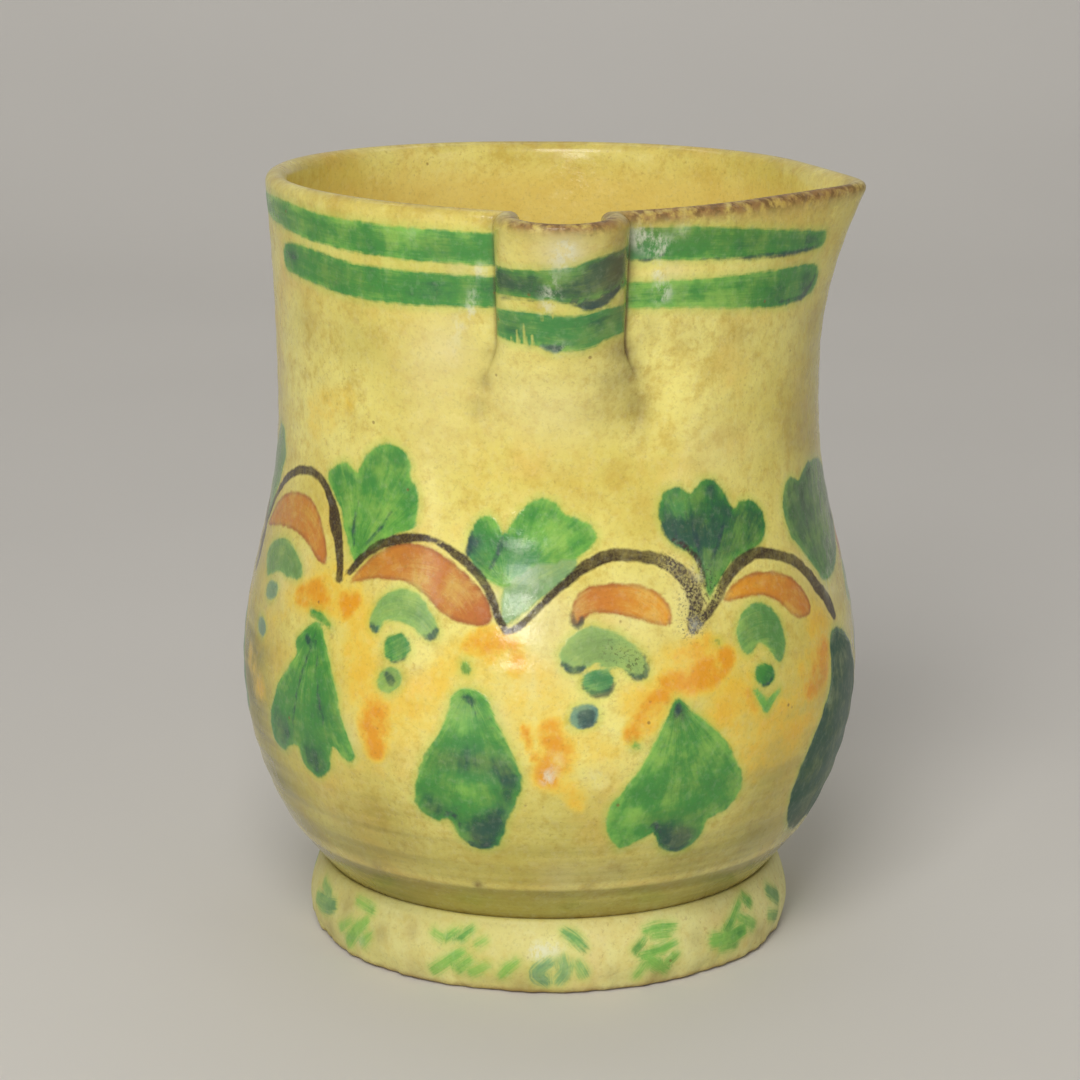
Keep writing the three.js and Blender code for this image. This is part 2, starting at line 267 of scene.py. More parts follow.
festoon = [  # brown arches round the shoulder
    [(-85, 96.5, 1), (-82.5, 101, 1), (-79, 107, .9), (-73, 113, 1), (-66, 117, 1.1), (-60, 118.3, 1.1),
     (-55, 117, 1.1), (-51.5, 113, 1.4), (-49.5, 108.5, 2), (-48, 105, 1.5), (-46.5, 100.5, 1.1),
     (-46, 97, 1.2)],
    [(-43.6, 98.8, .9), (-40.5, 103, 1), (-36, 106.6, 1.1), (-30, 108.6, 1.2), (-25.5, 108.7, .7),
     (-21.5, 106.8, .9), (-18, 104.2, 1.1), (-15, 101, 1), (-13, 97.3, 1), (-11.3, 92.5, .9),
     (-10, 90, .8)],
    [(-10, 90, .8), (-7.8, 91, .8), (-4.4, 95, .8), (-1, 98.8, .9), (2, 101.6, 1.1), (5, 104.3, 1.4),
     (9.4, 106.2, 1.5), (14, 106, 1.4), (19, 104.7, 1.5), (22.8, 102, 1.8), (25.2, 98.5, 2),
     (26, 94.5, 1.9), (25, 89, 1.5)],
    [(25.5, 89.3, 1), (28.5, 92, 1.1), (31, 95, 1.2), (33.5, 98.6, 1.4), (37, 101.3, 1.5),
     (42, 102.6, 1.4), (48, 100.8, 1.3), (53.2, 98.2, 1.4), (57.2, 94.2, 1.5), (59.5, 91, 1.7),
     (61.5, 88.8, 1.8), (63.5, 85.8, 1.9), (65, 82.8, 1.4)],
    [(22.5, 108.5, .5), (25.5, 106.2, .7), (27.8, 102.5, .8), (28.4, 98, .7)],
]
earthBlobs = [  # how red it is goes from the first number to the second along the stroke
    (.55, .7, [(-80, 101), (-77, 106), (-72, 110), (-66, 112.3), (-60, 112.5), (-56, 110.5), (-53, 106.5),
        (-51, 102.5), (-50.3, 99.2), (-53, 99.5), (-57, 102), (-62, 103.7), (-69, 103.3), (-75, 102)]),
    (.4, 1, [(-43.5, 96.5), (-40.5, 101), (-37, 104.6), (-32, 107.2), (-27, 107.3), (-22.6, 105.4),
        (-17.9, 102), (-14.4, 98), (-12.6, 93.6), (-14, 91), (-18, 91.3), (-22, 92.8), (-26, 96.5),
        (-30, 98.7), (-34.5, 98.8), (-39, 98)]),
    (.95, 0, [(1.7, 92.5), (2.2, 96.5), (4.5, 99.5), (8.5, 100.2), (14, 99.8), (18.5, 97.5), (20.8, 93.5),
        (20.3, 90), (17.5, 90.8), (14, 92.2), (10, 93.5), (6, 94), (4.3, 92.8), (3, 91.2)]),
    (0, .75, [(32.3, 93.8), (33.8, 96.3), (38, 98.4), (44, 98.2), (49, 96.4), (52.6, 93.6), (55.2, 89.5),
        (55.4, 86.3), (52.5, 85.5), (49, 87), (46.3, 90.3), (42, 93), (37, 93.6)]),
]
umbrellas = [  # green caps under the arches
    (.35, .25, .2, [(-67, 93.5), (-70, 92), (-73, 91.3), (-75.5, 95.5), (-73, 99), (-67, 101), (-62, 100),
        (-58.5, 97.5), (-57.3, 95.3), (-59, 93.7), (-63, 93.5)]),
    (.2, .25, .2, [(-30.5, 90.2), (-33.5, 90), (-34.6, 88), (-35.8, 87), (-37.2, 89), (-36.5, 92),
        (-34.5, 95.5), (-31, 97.3), (-27.5, 96.7), (-25, 94), (-23.2, 91), (-22.8, 88.5), (-24.3, 87),
        (-26, 88), (-27.5, 89.3)]),
    (.18, .38, .3, [(8, 82), (6.3, 83.2), (4, 82), (2, 81.2), (.3, 82.5), (-.3, 85.5), (1.5, 88.7),
        (4.5, 91), (8, 90.5), (11.5, 88.5), (14, 85.5), (15.6, 81.5), (14.8, 79.2), (12.5, 80),
        (10.5, 82)]),
    (.4, .15, .1, [(38.8, 83.2), (37.5, 82), (36, 81.3), (34.3, 84), (34.2, 87.5), (36, 90.5), (39, 92),
        (42.5, 91), (45, 87.5), (46, 83.5), (45.2, 79.3), (43.8, 77.8), (42.3, 79.5), (40.8, 82)]),
]
drops = [  # small brush strokes in leaf paint
    (.3, .8, .2, [(-69.5, 88.5, 2.2), (-67, 88.9, 2)]),
    (.3, .9, .2, [(-71, 79.8, 1.9), (-69.5, 79.4, 1.9)]),
    (.45, .1, 0, [(-31, 84.2, 2.9), (-30.2, 84.8, 2.9)]),
    (.3, .2, .25, [(-32, 76.8, 2.6), (-31.2, 77.6, 2.7)]),
    (.5, .7, 0, [(-31.8, 77.6, 1), (-31, 78, 1.1)]), (.4, .3, 0, [(5.7, 79, 2.7), (6.9, 79.3, 2.8)]),
    (.45, .9, 0, [(3.3, 71.4, 2.6), (4.3, 71.9, 2.7)]),
    (.55, 0, 0, [(39.2, 76.2, 2.4), (40.1, 75.6, 2.5)]),
    (.15, 0, 0, [(37, 73, .5), (38.6, 70.4, 1.1), (39.7, 68.3, 1.2)]),
    (.15, 0, 0, [(43.2, 71.5, .5), (41.6, 70.2, .7), (40, 68.8, 1)]),
    (.5, 0, 0, [(-52, 88, .8), (-49, 87.6, 1), (-46.4, 86, .5)]),
    (.5, 0, .2, [(-17.2, 82.4, 1), (-16.9, 81.2, 1)]), (.4, 0, .2, [(12.8, 64.4, .7), (13.3, 63.9, .7)]),
    (.6, 0, .2, [(29.5, 85.4, .4), (29.9, 85.2, .4)]), (.6, .6, 0, [(-36.2, 88.4, .9), (-35.4, 88, 1)]),
    (.6, .6, 0, [(-24.6, 88.6, 1), (-23.8, 89, 1.1)]), (.7, .9, .1, [(1, 82.8, 1), (3.4, 82.6, 1.1)]),
    (.15, .55, .2, [(-9.8, 93.2, 1.4), (-8, 97.4, 3.4), (-4.6, 101.6, 4), (1, 104.6, 2.4)]),
]
marks = [  # dark blue-green accents
    [(-52.2, 82.3, .9), (-51.6, 81.6, 1)], [(-17, 75.3, .7), (-15.7, 74.7, 1)],
    [(-15.8, 74, .4), (-15, 71.6, .2)],
    [(3.6, 78.4, .4), (5.6, 76.6, .9), (8, 76.8, .8), (9.4, 78.6, .4)],
    [(2.8, 70.4, .4), (4.2, 69.6, .8), (5.8, 70.4, .5)], [(3.8, 71.9, 1.5), (4.6, 71.5, 1.7)],
    [(-32.6, 82.6, .2), (-30.6, 81.4, .5), (-28.6, 82.6, .3)], [(-32.2, 78.4, .8), (-31.2, 77, 1.2)],
    [(38.2, 74.8, .2), (39.8, 73.4, .5), (41.4, 74.6, .3)],
    [(11.4, 81.2, .3), (13.4, 79.6, .7), (15, 80, .8), (15.4, 82.6, .5), (14.4, 85, .2)],
    [(.2, 83.2, .7), (1.8, 81.8, .9), (3.8, 82.2, .8)], [(-36.6, 88.4, .7), (-35.6, 87.6, .8)],
    [(-25.4, 87.8, .6), (-23.8, 87.8, 1), (-23, 89.6, .5)],
    [(1.9, 94.6, .5), (2.2, 92.2, .8), (3.2, 91.4, .9), (4, 93.2, .5)],
    [(20, 91.6, .2), (20.4, 90.6, .4), (19, 90.4, .2)],
    [(28.6, 99, .3), (28.2, 104, .4), (27.4, 109, .6), (27, 112, .2)],
    [(29.4, 101, .3), (32.6, 107, .5), (34.6, 111, .2)],
    [(26, 105.5, .3), (23.5, 109, .5), (22.6, 112, .2)],
    [(20.6, 73.4, .3), (20.9, 71.6, .9), (20.4, 69.6, .4)],
    [(-17.4, 104.4, .3), (-18, 107.6, .7), (-17.2, 111, .4)],
    [(-13.6, 103, .3), (-12, 107, .6), (-11.4, 110.4, .3)],
    [(-43, 103, .2), (-44.2, 109, .5), (-43.6, 115, .2)],
    [(-41.6, 104.4, .2), (-37.4, 109.6, .4), (-35, 114, .2)],
    [(-50, 84, .2), (-52.6, 74, .4), (-55, 64, .4), (-56, 58, .2)],
    [(-49.4, 82, .2), (-48, 72, .4), (-46, 62, .3)],
    [(-22, 46.6, .3), (-19.8, 47.4, .6), (-18.4, 43.6, .4)],
    [(16.4, 43.4, .2), (17.6, 44.6, .6), (19, 41, .4)],
    [(21, 37.4, .3), (23.4, 36.6, .7), (26, 38.4, .3)],
    [(-18, 40.8, .3), (-15.4, 39.4, .8), (-12.4, 40.4, .4)],
    [(1.6, 163, .3), (4.4, 162.2, .9), (7, 163, 1), (10, 165.8, .5)],
    [(-3.2, 153.4, .4), (-1.2, 152.6, .8), (.6, 153.2, .4)],
    [(28, 169.3, .2), (38, 168.6, .5), (50, 167.8, .6), (60, 167.4, .6), (65, 168.2, .3)],
    [(50, 157.2, .2), (56, 156.8, .6), (61, 157.2, .8), (64.6, 160, .6), (65, 162.5, .2)],
    [(13, 170.6, .2), (17, 170.2, .4), (21, 171.6, .2)],
    [(-11, 163, .3), (-9, 163.6, .4), (-5, 163.4, .2)],
]
uprightLeaves = [  # trefoils over the points where the arches meet
    (.28, 0, 0, [(-42.8, 101.5), (-46.5, 107.5), (-48.5, 112), (-52, 116), (-53.5, 118.5), (-51, 121.5),
        (-47.5, 122.8), (-44.5, 121), (-43.5, 122.5), (-41, 126.5), (-37, 128.7), (-33, 128), (-31, 125),
        (-31, 122), (-29.3, 119), (-29, 114), (-30, 110.5), (-33, 109.3), (-36, 107), (-40, 103.5)]),
    (.3, 0, 0, [(-10, 99.5), (-14, 101), (-17, 104), (-18.2, 107.5), (-17.5, 111.5), (-15.8, 114.3),
        (-13.5, 114.8), (-11.8, 112.5), (-11, 111), (-9.5, 113.5), (-7, 117), (-4, 119.2), (-1, 118),
        (1, 115.5), (3.5, 114.5), (6.3, 112.5), (7, 110), (5, 107.5), (2.5, 105.5), (0, 103.5), (-4, 103),
        (-8, 101)]),
    (.75, 0, 0, [(29, 95.4), (28, 101), (26, 105), (22.5, 107.5), (20.5, 111), (19.7, 115), (21, 119.2),
        (24, 120), (26.5, 118.5), (27.8, 119), (29.5, 121), (32.5, 120.5), (35, 117.5), (37, 113.5),
        (39, 114.8), (42, 114.5), (44.7, 112), (45.5, 108.5), (44, 105), (40, 103.3), (36.4, 102.4),
        (33.4, 100.4), (31, 97.4)]),
    (.7, .2, .1, [(64, 91), (61, 94), (58.5, 97.5), (55.5, 101), (53, 104.5), (52, 110), (53.2, 115),
        (56, 116.8), (59.5, 115.5), (61, 116), (64.5, 118), (70, 118), (76, 116.5), (82, 113), (85, 107),
        (83, 101), (78, 96), (71, 92)]),
    (.4, .5, .2, [(-83, 102), (-87, 108), (-91, 113), (-92, 118), (-88, 121), (-84, 119.5), (-80, 125),
        (-76, 124.5), (-74, 120), (-75.5, 115), (-79, 108)]),
]
pendantLeaves = [  # trefoils that hang below them
    (.4, 0, 0, [(-50, 86.5), (-53.5, 83.5), (-55.5, 80.5), (-55, 77.5), (-58, 73), (-60.5, 69),
        (-63, 63.5), (-64.5, 58.5), (-63.5, 54.5), (-60.5, 53), (-57.5, 55), (-55.2, 56), (-54.3, 55),
        (-53.5, 51.8), (-50.5, 49.8), (-48, 50.5), (-45.5, 53.5), (-45, 57), (-44.2, 59), (-42, 57),
        (-40.2, 56), (-39.2, 58), (-40.2, 62), (-42, 67), (-43, 72), (-45, 77.5), (-47, 82.5)]),
    (.35, 0, 0, [(-16.3, 77.5), (-19, 76), (-20, 72), (-21.5, 67), (-24, 62), (-26, 56), (-27, 50.5),
        (-25.8, 47), (-23, 45.3), (-20.8, 46), (-20, 44.5), (-18.5, 41), (-15.5, 38.7), (-12.5, 39.3),
        (-10.7, 42), (-9.8, 46.5), (-8.3, 50.5), (-7, 55.5), (-7.5, 60), (-9.5, 65.5), (-11.5, 71),
        (-13, 75.5)]),
    (.3, 0, 0, [(20.5, 74.2), (18.8, 70.5), (17, 66), (14, 59), (11, 54), (8.7, 50), (8.2, 45.5),
        (9.5, 41), (11.3, 38.7), (14, 40.2), (16.5, 41.5), (17.3, 42), (18.5, 39.5), (20.5, 37),
        (23.5, 36), (26.5, 37.5), (28, 40.5), (28.5, 43.5), (30.5, 44.3), (33, 45.8), (35, 50),
        (34.5, 54), (32.5, 58.5), (29.5, 64), (26, 68.5), (23.5, 71)]),
    (1.1, 0, 0, [(63, 80), (60.8, 75.5), (60.8, 70.5), (59.5, 66.5), (57, 61.5), (54.5, 56.5), (52, 51),
        (50.8, 45), (51.5, 40), (54, 35.5), (57.5, 32.2), (62, 30.8), (66, 32.5), (69.5, 31), (74, 31.5),
        (77, 36), (80, 40), (83, 46), (83, 53), (80, 61), (76, 69), (70, 77)]),
    (.55, .1, 0, [(-90, 84), (-93, 78), (-98, 66), (-101, 57), (-97, 52), (-93, 54), (-91, 49.5),
        (-87, 49.5), (-85, 55), (-82, 55.5), (-80, 58), (-83, 68), (-86, 77)]),
]
cools = [  # bluish pools in the leaf paint
    (-16, 61, 4.5, .2), (-10.5, 59, 3.6, .22), (-15, 42, 4.5, .2), (-10, 48, 4, .2), (-17, 72, 4, .2),
    (23, 38.5, 4, .35), (-17.5, 108, 3, .45), (-7, 104, 4, .3), (28, 104, 4, .2), (5, 168, 5, .15),
    (-60, 57, 4, .2), (15, 172, 3, .3), (60, 106, 6, .25),
]
shades = [  # darker or lighter pools in the leaf paint
    (-60, 58, 5, .35), (-50, 53, 5, .35), (-46, 66, 5, .15), (-53, 74, 6, -.15), (-41, 60, 3, -.25),
    (-23.5, 48.5, 4, .45), (-15, 42, 5, .6), (-11, 47, 4, .5), (-9, 53, 3, .35), (-21, 60.5, 3.4, .4),
    (-16, 61, 4, .45), (-11, 60, 3.6, .45), (-8.6, 57, 2.6, .4), (-17, 69, 4, -.35), (-17, 54, 3, -.3),
    (-15, 52, 4, -.15), (22.5, 39.5, 5, .85), (18, 43.5, 3, .4), (21, 71, 3.2, .7), (12, 46, 5, -.3),
    (16, 60, 4, -.2), (30, 60, 4, -.1), (32, 50, 4, -.05), (-17.5, 109, 2.5, .7), (-16, 104, 2.5, .5),
    (-11, 109, 2.5, .4), (-13, 112, 2, -.3), (-4, 112, 5, -.3), (3, 110, 4, -.2), (21, 111, 3, .4),
    (27.5, 110, 3, .4), (33, 105, 4, .1), (24, 116, 3, -.3), (31, 117, 3, -.15), (-50, 111, 3, .5),
    (-44, 112, 4, -.1), (-36, 121, 4, -.1), (-34, 113, 4, -.15), (-33, 126, 3, .1), (-55, 170.6, 4, .15),
    (-40, 170, 4, .25), (-25, 170.6, 5, .2), (-70, 172.5, 5, .3), (-30, 175, 5, -.3), (-50, 161, 6, .25),
    (-25, 160.4, 5, .2), (-66, 165, 4, .3), (40, 169.5, 5, .25), (60, 169, 5, .2), (62, 159, 5, .35),
    (50, 157.5, 5, .35), (35, 162, 7, -.1), (-10.5, 167, 4, .6), (-5, 168, 3, .35), (7, 169, 5, .7),
    (1, 165, 4, .4), (-9, 157, 3, .4), (7, 157, 4, .4),
]
washes = [  # soft orange strokes: strength, then brush points
    (.95, [(-57, 90.5, 2), (-50, 92.3, 4), (-44.5, 91.5, 3.8), (-41.5, 93, 2.2)]),
    (.5, [(-47, 97, 3), (-42, 95, 3)]), (.5, [(-39, 89, 4.5), (-38.5, 80, 5), (-37, 73, 4.5)]),
    (1, [(-34.5, 70, 3.8), (-34.4, 65.5, 4.2), (-34.4, 60.8, 2.6)]),
    (.46, [(-31, 67, 3), (-27, 72, 4.2), (-22.5, 78.5, 4.2), (-20, 83, 3)]),
    (.85, [(-16.4, 86.4, 2.2), (-13.6, 87.4, 3.4), (-10, 85.4, 4), (-8.4, 82.8, 2.6)]),
    (.9, [(-6.6, 69.5, .7), (-5.6, 65.5, 1.1), (-4.8, 62, .9)]),
    (.9, [(-1.8, 68, 3.2), (-.6, 62, 4.2), (-2, 58.5, 3.6)]),
    (.55, [(-1, 57, 3), (2, 54, 3), (3, 51, 2)]), (.35, [(4, 66, 4), (8, 62, 4)]),
    (1, [(12.6, 67, 2.4), (15.2, 70.4, 3.2), (17.5, 74.6, 2.6)]),
    (1, [(18.5, 78.6, 2), (22, 77.8, 3), (27, 78.6, 3.8), (31, 81, 3)]),
    (.7, [(22, 83, 2.4), (28, 85, 2.6)]), (.4, [(20, 83, 3), (26, 84, 3)]),
    (.45, [(28, 70, 3), (33, 66, 4.5), (36, 59, 4.5), (38.5, 53.5, 3)]),
    (.75, [(35.6, 72.5, 1.5), (36.8, 69.5, 2)]), (1, [(52.5, 69, 3), (56, 71.5, 4), (58.5, 77, 3.2)]),
    (.4, [(57, 82, 3.5), (55, 79, 4)]), (.4, [(42, 57, 4), (50, 61, 5), (55, 64, 4)]),
    (.5, [(-76, 71, 3), (-70, 66, 4.5)]), (.25, [(-72, 75, 4), (-66, 82, 4)]),
    (.3, [(-56, 97, 3), (-62, 90, 3)]), (.36, [(-40, 86, 6), (-37, 74, 7), (-28, 70, 7), (-23, 78, 5)]),
    (.4, [(-18, 84, 5), (-8, 80, 7), (-2, 70, 7)]), (.5, [(14, 74, 5), (24, 81, 6), (33, 77, 6)]),
    (.4, [(-64, 86, 4), (-50, 94, 6), (-40, 90, 5)]),
    (.55, [(30, 68, 6), (38, 60, 7), (50, 67, 8), (57, 80, 7)]),
    (.38, [(-58, 131, 5), (-50, 136, 4), (-46, 138, 2)]),
]
paleAndLitSpots = [  # paler glaze, and painted light on the front of the shoulder, on the lip and left of it, and on the front of the waist
    (-8, 89, 7, .4), (-2, 94, 6, .35), (-12, 97, 4, .4), (12, 94, 7, .3), (-13, 71, 5, .35),
    (-4, 80, 6, .4), (26, 96, 4, .35), (-41, 62, 4, .45), (-66, 91, 7, .4), (-57, 96, 5, .35),
    (0, 31.4, 5, .4), (9, 32, 4, .25), (-22, 152, 6, .3), (0, 175, 5, .85), (-27, 147, 10, .3),
    (0, 138, 9, .3), (-10, 142, 8, .2), (-20, 168, 3, .4), (22, 167, 3.5, .4), (58, 98, 8, .3),
    (66, 90, 8, .4), (32, 128, 9, .2), (-24, 131, 9, .2),
]
paintedGlints = [  # painted highlights and glints, pale and milky
    (-7, 97.5, 3.6, .4), (-3, 100.5, 3, .35), (-10, 94, 2.5, .4), (-8, 108, 3, .4), (27.5, 101, 3, .55),
    (25, 89.5, 3, .6), (65, 90, 5, .5), (70, 96, 6, .4), (15, 175.5, 3.2, 1.1), (19, 173, 3, 1),
    (20, 163, 2.6, 1), (19, 167.6, 2, .7), (24, 176, 2.5, .5), (-15.5, 168, 2.2, .7), (-17, 163, 2, .5),
    (-17.5, 159.5, 2, .6), (-20, 156, 3.4, .45), (-21, 150, 3.4, .35), (0, 176, 1.6, .9),
    (0, 173, 3.4, .7), (-3, 161, 1.6, .5), (-2, 164.4, 2.6, .75), (-2, 168, 2, .45), (0, 152.5, 2.4, .6),
    (-29, 174, 3, .35), (-5, 10.8, 2.6, .9), (-1, 11.6, 2.4, .7), (-2.5, 57.5, 2.2, .9), (-52, 6, 3, .4),
    (-1, 62, 3, .4), (6, 57, 4, .4), (13, 77, 3, .35),
]
sprays = [  # spattered brown
    (25.5, 95, 4.5, 1), (24.5, 89, 3.5, 1), (28, 100, 3.5, .9), (21, 103.5, 4, .7), (31, 96, 3, .5),
    (28, 97, 3, .6), (-9, 92, 3, .4), (-6, 97, 3.5, .5), (9, 86, 4, .65), (13.5, 82.5, 3.5, .8),
    (21, 71, 3, .6),
]
footDabs = [  # sprigs on the foot
    (.35, .35, .2, [(-76, 9, 1.6), (-70, 9.5, 2.4), (-65, 10.5, 1.6)]),
    (.3, .3, .3, [(-74, 13.5, 1), (-69, 12, 1.4)]),
    (.15, 0, .2, [(-50.5, 11, 1), (-53.5, 8, 1.8), (-57, 4.2, 1.6)]),
    (.15, 0, .35, [(-55, 14.5, .8), (-49.5, 14, 1.1)]), (.1, 0, .3, [(-48.5, 8.5, .8), (-51, 6, 1.3)]),
    (.1, 0, .3, [(-56, 9.6, .7), (-60, 7, 1.2)]), (.25, 0, .1, [(-20.6, 14.6, .7), (-23, 12.6, 1.4)]),
    (.2, 0, .2, [(-24.6, 13.9, .8), (-26.4, 12.2, 1.1)]),
    (.15, 0, .3, [(-30, 12.8, .6), (-27.4, 11.8, .8)]), (.2, 0, .3, [(-17.4, 12.6, .6), (-19, 11.4, .8)]),
    (.15, 0, .15, [(-22.4, 9.4, .9), (-25.4, 7.2, 1.5), (-29.6, 4, 1.1)]),
    (.2, 0, .2, [(-20.4, 7.8, .9), (-23, 5.6, 1.5)]), (.1, 0, .25, [(-16.6, 6.8, .8), (-20, 4.8, 1.2)]),
    (-.2, 0, .2, [(-9.6, 8, .7), (-11.5, 6.4, 1.3), (-13, 4.6, .9)]),
    (.3, .2, .1, [(1.4, 15, .7), (3.6, 13.6, 1.3), (5.8, 11.6, .9)]),
    (.3, .55, .15, [(-2, 8.4, 1), (-4.8, 5.6, 1.8), (-3, 3.6, 1.3)]),
    (.2, .5, .25, [(1, 9, .9), (1.4, 6.2, 1.7), (0, 3.8, 1)]),
    (.2, .3, .25, [(4.4, 8, .9), (5.6, 5.6, 1.4)]),
    (.25, 0, .05, [(21, 13.6, .7), (24.2, 13.9, 1.2), (28.4, 13.6, .9)]),
    (.2, 0, .15, [(23, 12.4, .7), (26.6, 12, 1)]), (.35, 0, .15, [(20.4, 12, .7), (18.4, 9.8, 1)]),
    (.15, 0, .05, [(28, 10, .8), (24, 9, 1.2), (19.6, 8.6, 1)]),
    (.15, 0, 0, [(20.6, 8, 1.1), (23, 6, 1.7), (25.6, 4, 1.2)]),
    (.2, 0, .1, [(28.4, 7.4, .8), (25.4, 5.2, 1.2)]), (.2, 0, .2, [(20.4, 6.4, .8), (18.4, 3.6, 1.1)]),
    (.3, 0, .1, [(52.4, 15.2, .8), (54.4, 13.2, 1.3)]),
    (.3, 0, .1, [(50.6, 14.2, .8), (47.6, 12, 1.1), (44, 9.4, 1.5)]),
    (.2, 0, .05, [(39.6, 8.2, 1.6), (45, 7.6, 2.2), (50, 8, 1.8)]),
    (.25, .05, .15, [(49, 11.4, 1), (54, 8, 1.5)]), (.2, 0, .2, [(42, 5.6, .9), (47, 5, 1)]),
    (.35, .3, .25, [(65, 13, 1.4), (69.6, 10, 2)]), (.3, .2, .3, [(63, 7.6, 1.1), (68, 5.8, 1.3)]),
]
stainsAndShade = [  # brown and greenish dirt, with painted shade on the lip's right side, in the thumb dents, under the ridge and at the sides of the waist
    (-17, 28.2, 1.3, .8), (6, 28.3, 1.2, .3), (31, 28.4, 1.4, .4), (-41, 28.4, 1.6, .4), (-30, 37, 4, .2),
    (-38, 101.5, 4, .25), (-31, 104, 4, .18), (12, 33, 3, .25), (42, 35, 5, .2), (-46, 39, 5, .2),
    (13.4, 151, 2.4, .4), (14.2, 146, 3, .42), (15.4, 140.5, 3.6, .4), (16.5, 136, 4, .35),
    (11, 151, 2.4, .35), (9.5, 145, 4, .35), (8, 138, 5, .25), (4, 150, 4, .15), (60, 130, 9, .24),
    (56, 69, 4, .2), (42, 53, 8, .14), (9, 152, 3, .3), (10, 160, 3, .35), (9.5, 168, 3.5, .4),
    (9, 176, 3, .35), (-14.4, 150, 1.6, .3), (-15.4, 144, 2, .38), (-17, 138, 2.6, .32),
    (18, 155.5, 3, .25), (26, 153.5, 5, .22), (38, 152, 6, .2), (10, 172, 3.4, .35), (-59, 12.5, 3, .45),
    (-45, 9.5, 2.4, .35), (-36, 12, 2, .3), (-66, 5, 3, .3), (12, 5, 2, .25), (34, 10, 2.4, .25),
    (57, 5, 3, .3), (-62, 30, 6, .3), (60, 31, 6, .3), (24, 1.5, 4, .4), (-8, 1.5, 4, .4),
    (-35, 1.5, 4, .3),
]
olivesAndShade = [  # broad olive patches where the glaze is thick and green, and painted shade towards the jug's sides and over the low belly
    (-80, 66, 17, .9), (-68, 46, 13, .5), (-88, 96, 12, .4), (-72, 71, 8, .5), (-70, 58, 9, .2),
    (74, 44, 14, .4), (84, 66, 16, .4), (70, 122, 11, .3), (74, 150, 14, .22), (-44, 150, 9, .22),
    (-62, 152, 9, .18), (-36, 44, 8, .3), (2, 44, 9, .1), (-42, 23, 12, .3), (44, 23, 12, .34),
    (26, 33, 8, .2), (48, 62, 12, .28), (58, 78, 9, .15), (42, 46, 9, .25), (26, 92, 4, .4),
    (28, 99, 3, .3),
]
softSpots = {"leafDark": shades, "leafBlue": cools, "paleAndLit": paleAndLitSpots, "paintedGlint": paintedGlints, "spray": sprays,
             "stainAndShade": stainsAndShade, "oliveAndShade": olivesAndShade}
paintLayers = ("leaf", "earth", "line", "mark", "bare")
softLayers = (*softSpots, "leafThin", "earthRed", "wash", "wear", "inner")
brush = {
    "seed": 11, "reach": 4.0, "fan": 9.0, "archDrop": 4.0, "streakStep": 7.3, "wetEdge": 1.25, "wetFall": 4,
    "startDark": -.05, "endDark": .1, "sway": .8, "lift": 1,
}
# the unseen side repeats the third bay, by a less careful hand
back = {
    "bays": (88, 122, 156, 190, 225, 261), "copied": 2, "copiedAt": 10, "joined": 4, "drops": (5, 7),
    "washes": (10, 40), "washShare": (.5, 1), "firstRed": (.5, 1), "lastRed": (.1, .6), "lift": 1.5,
}


def smoothLine(points, perSpan=7, closed=False):  # passes through each given point
    p = np.array(points, float)
    if len(p) < 3:
        t = np.linspace(0, 1, 3)[:, None]
        return p[:1] * (1 - t) + p[-1:] * t
    if closed:
        ends = np.vstack([p[-1:], p, p[:2]])
    else:
        ends = np.vstack([2 * p[0] - p[1], p, 2 * p[-1] - p[-2]])
    t = np.linspace(0, 1, perSpan, endpoint=False)[:, None]
    runs = []
    for k in range(1, len(ends) - 2):
        a, b, c, d = ends[k - 1:k + 3]
        runs.append(0.5 * (2 * b + (c - a) * t + (2 * a - 5 * b + 4 * c - d) * t ** 2
                           + (3 * b - a - 3 * c + d) * t ** 3))
    return np.vstack(runs if closed else runs + [p[-1:]])


def wrapped(angle):
    return (angle + 180) % 360 - 180


def fromPath(x, z, starts, span):  # from each vertex to each straight piece of a path
    length = np.maximum((span ** 2).sum(1), tiny)
    toX, toZ = x[:, None] - starts[:, 0], z[:, None] - starts[:, 1]
    t = np.clip((toX * span[:, 0] + toZ * span[:, 1]) / length, 0, 1)
    return toX, toZ, t, np.hypot(toX - t * span[:, 0], toZ - t * span[:, 1]), np.sqrt(length)


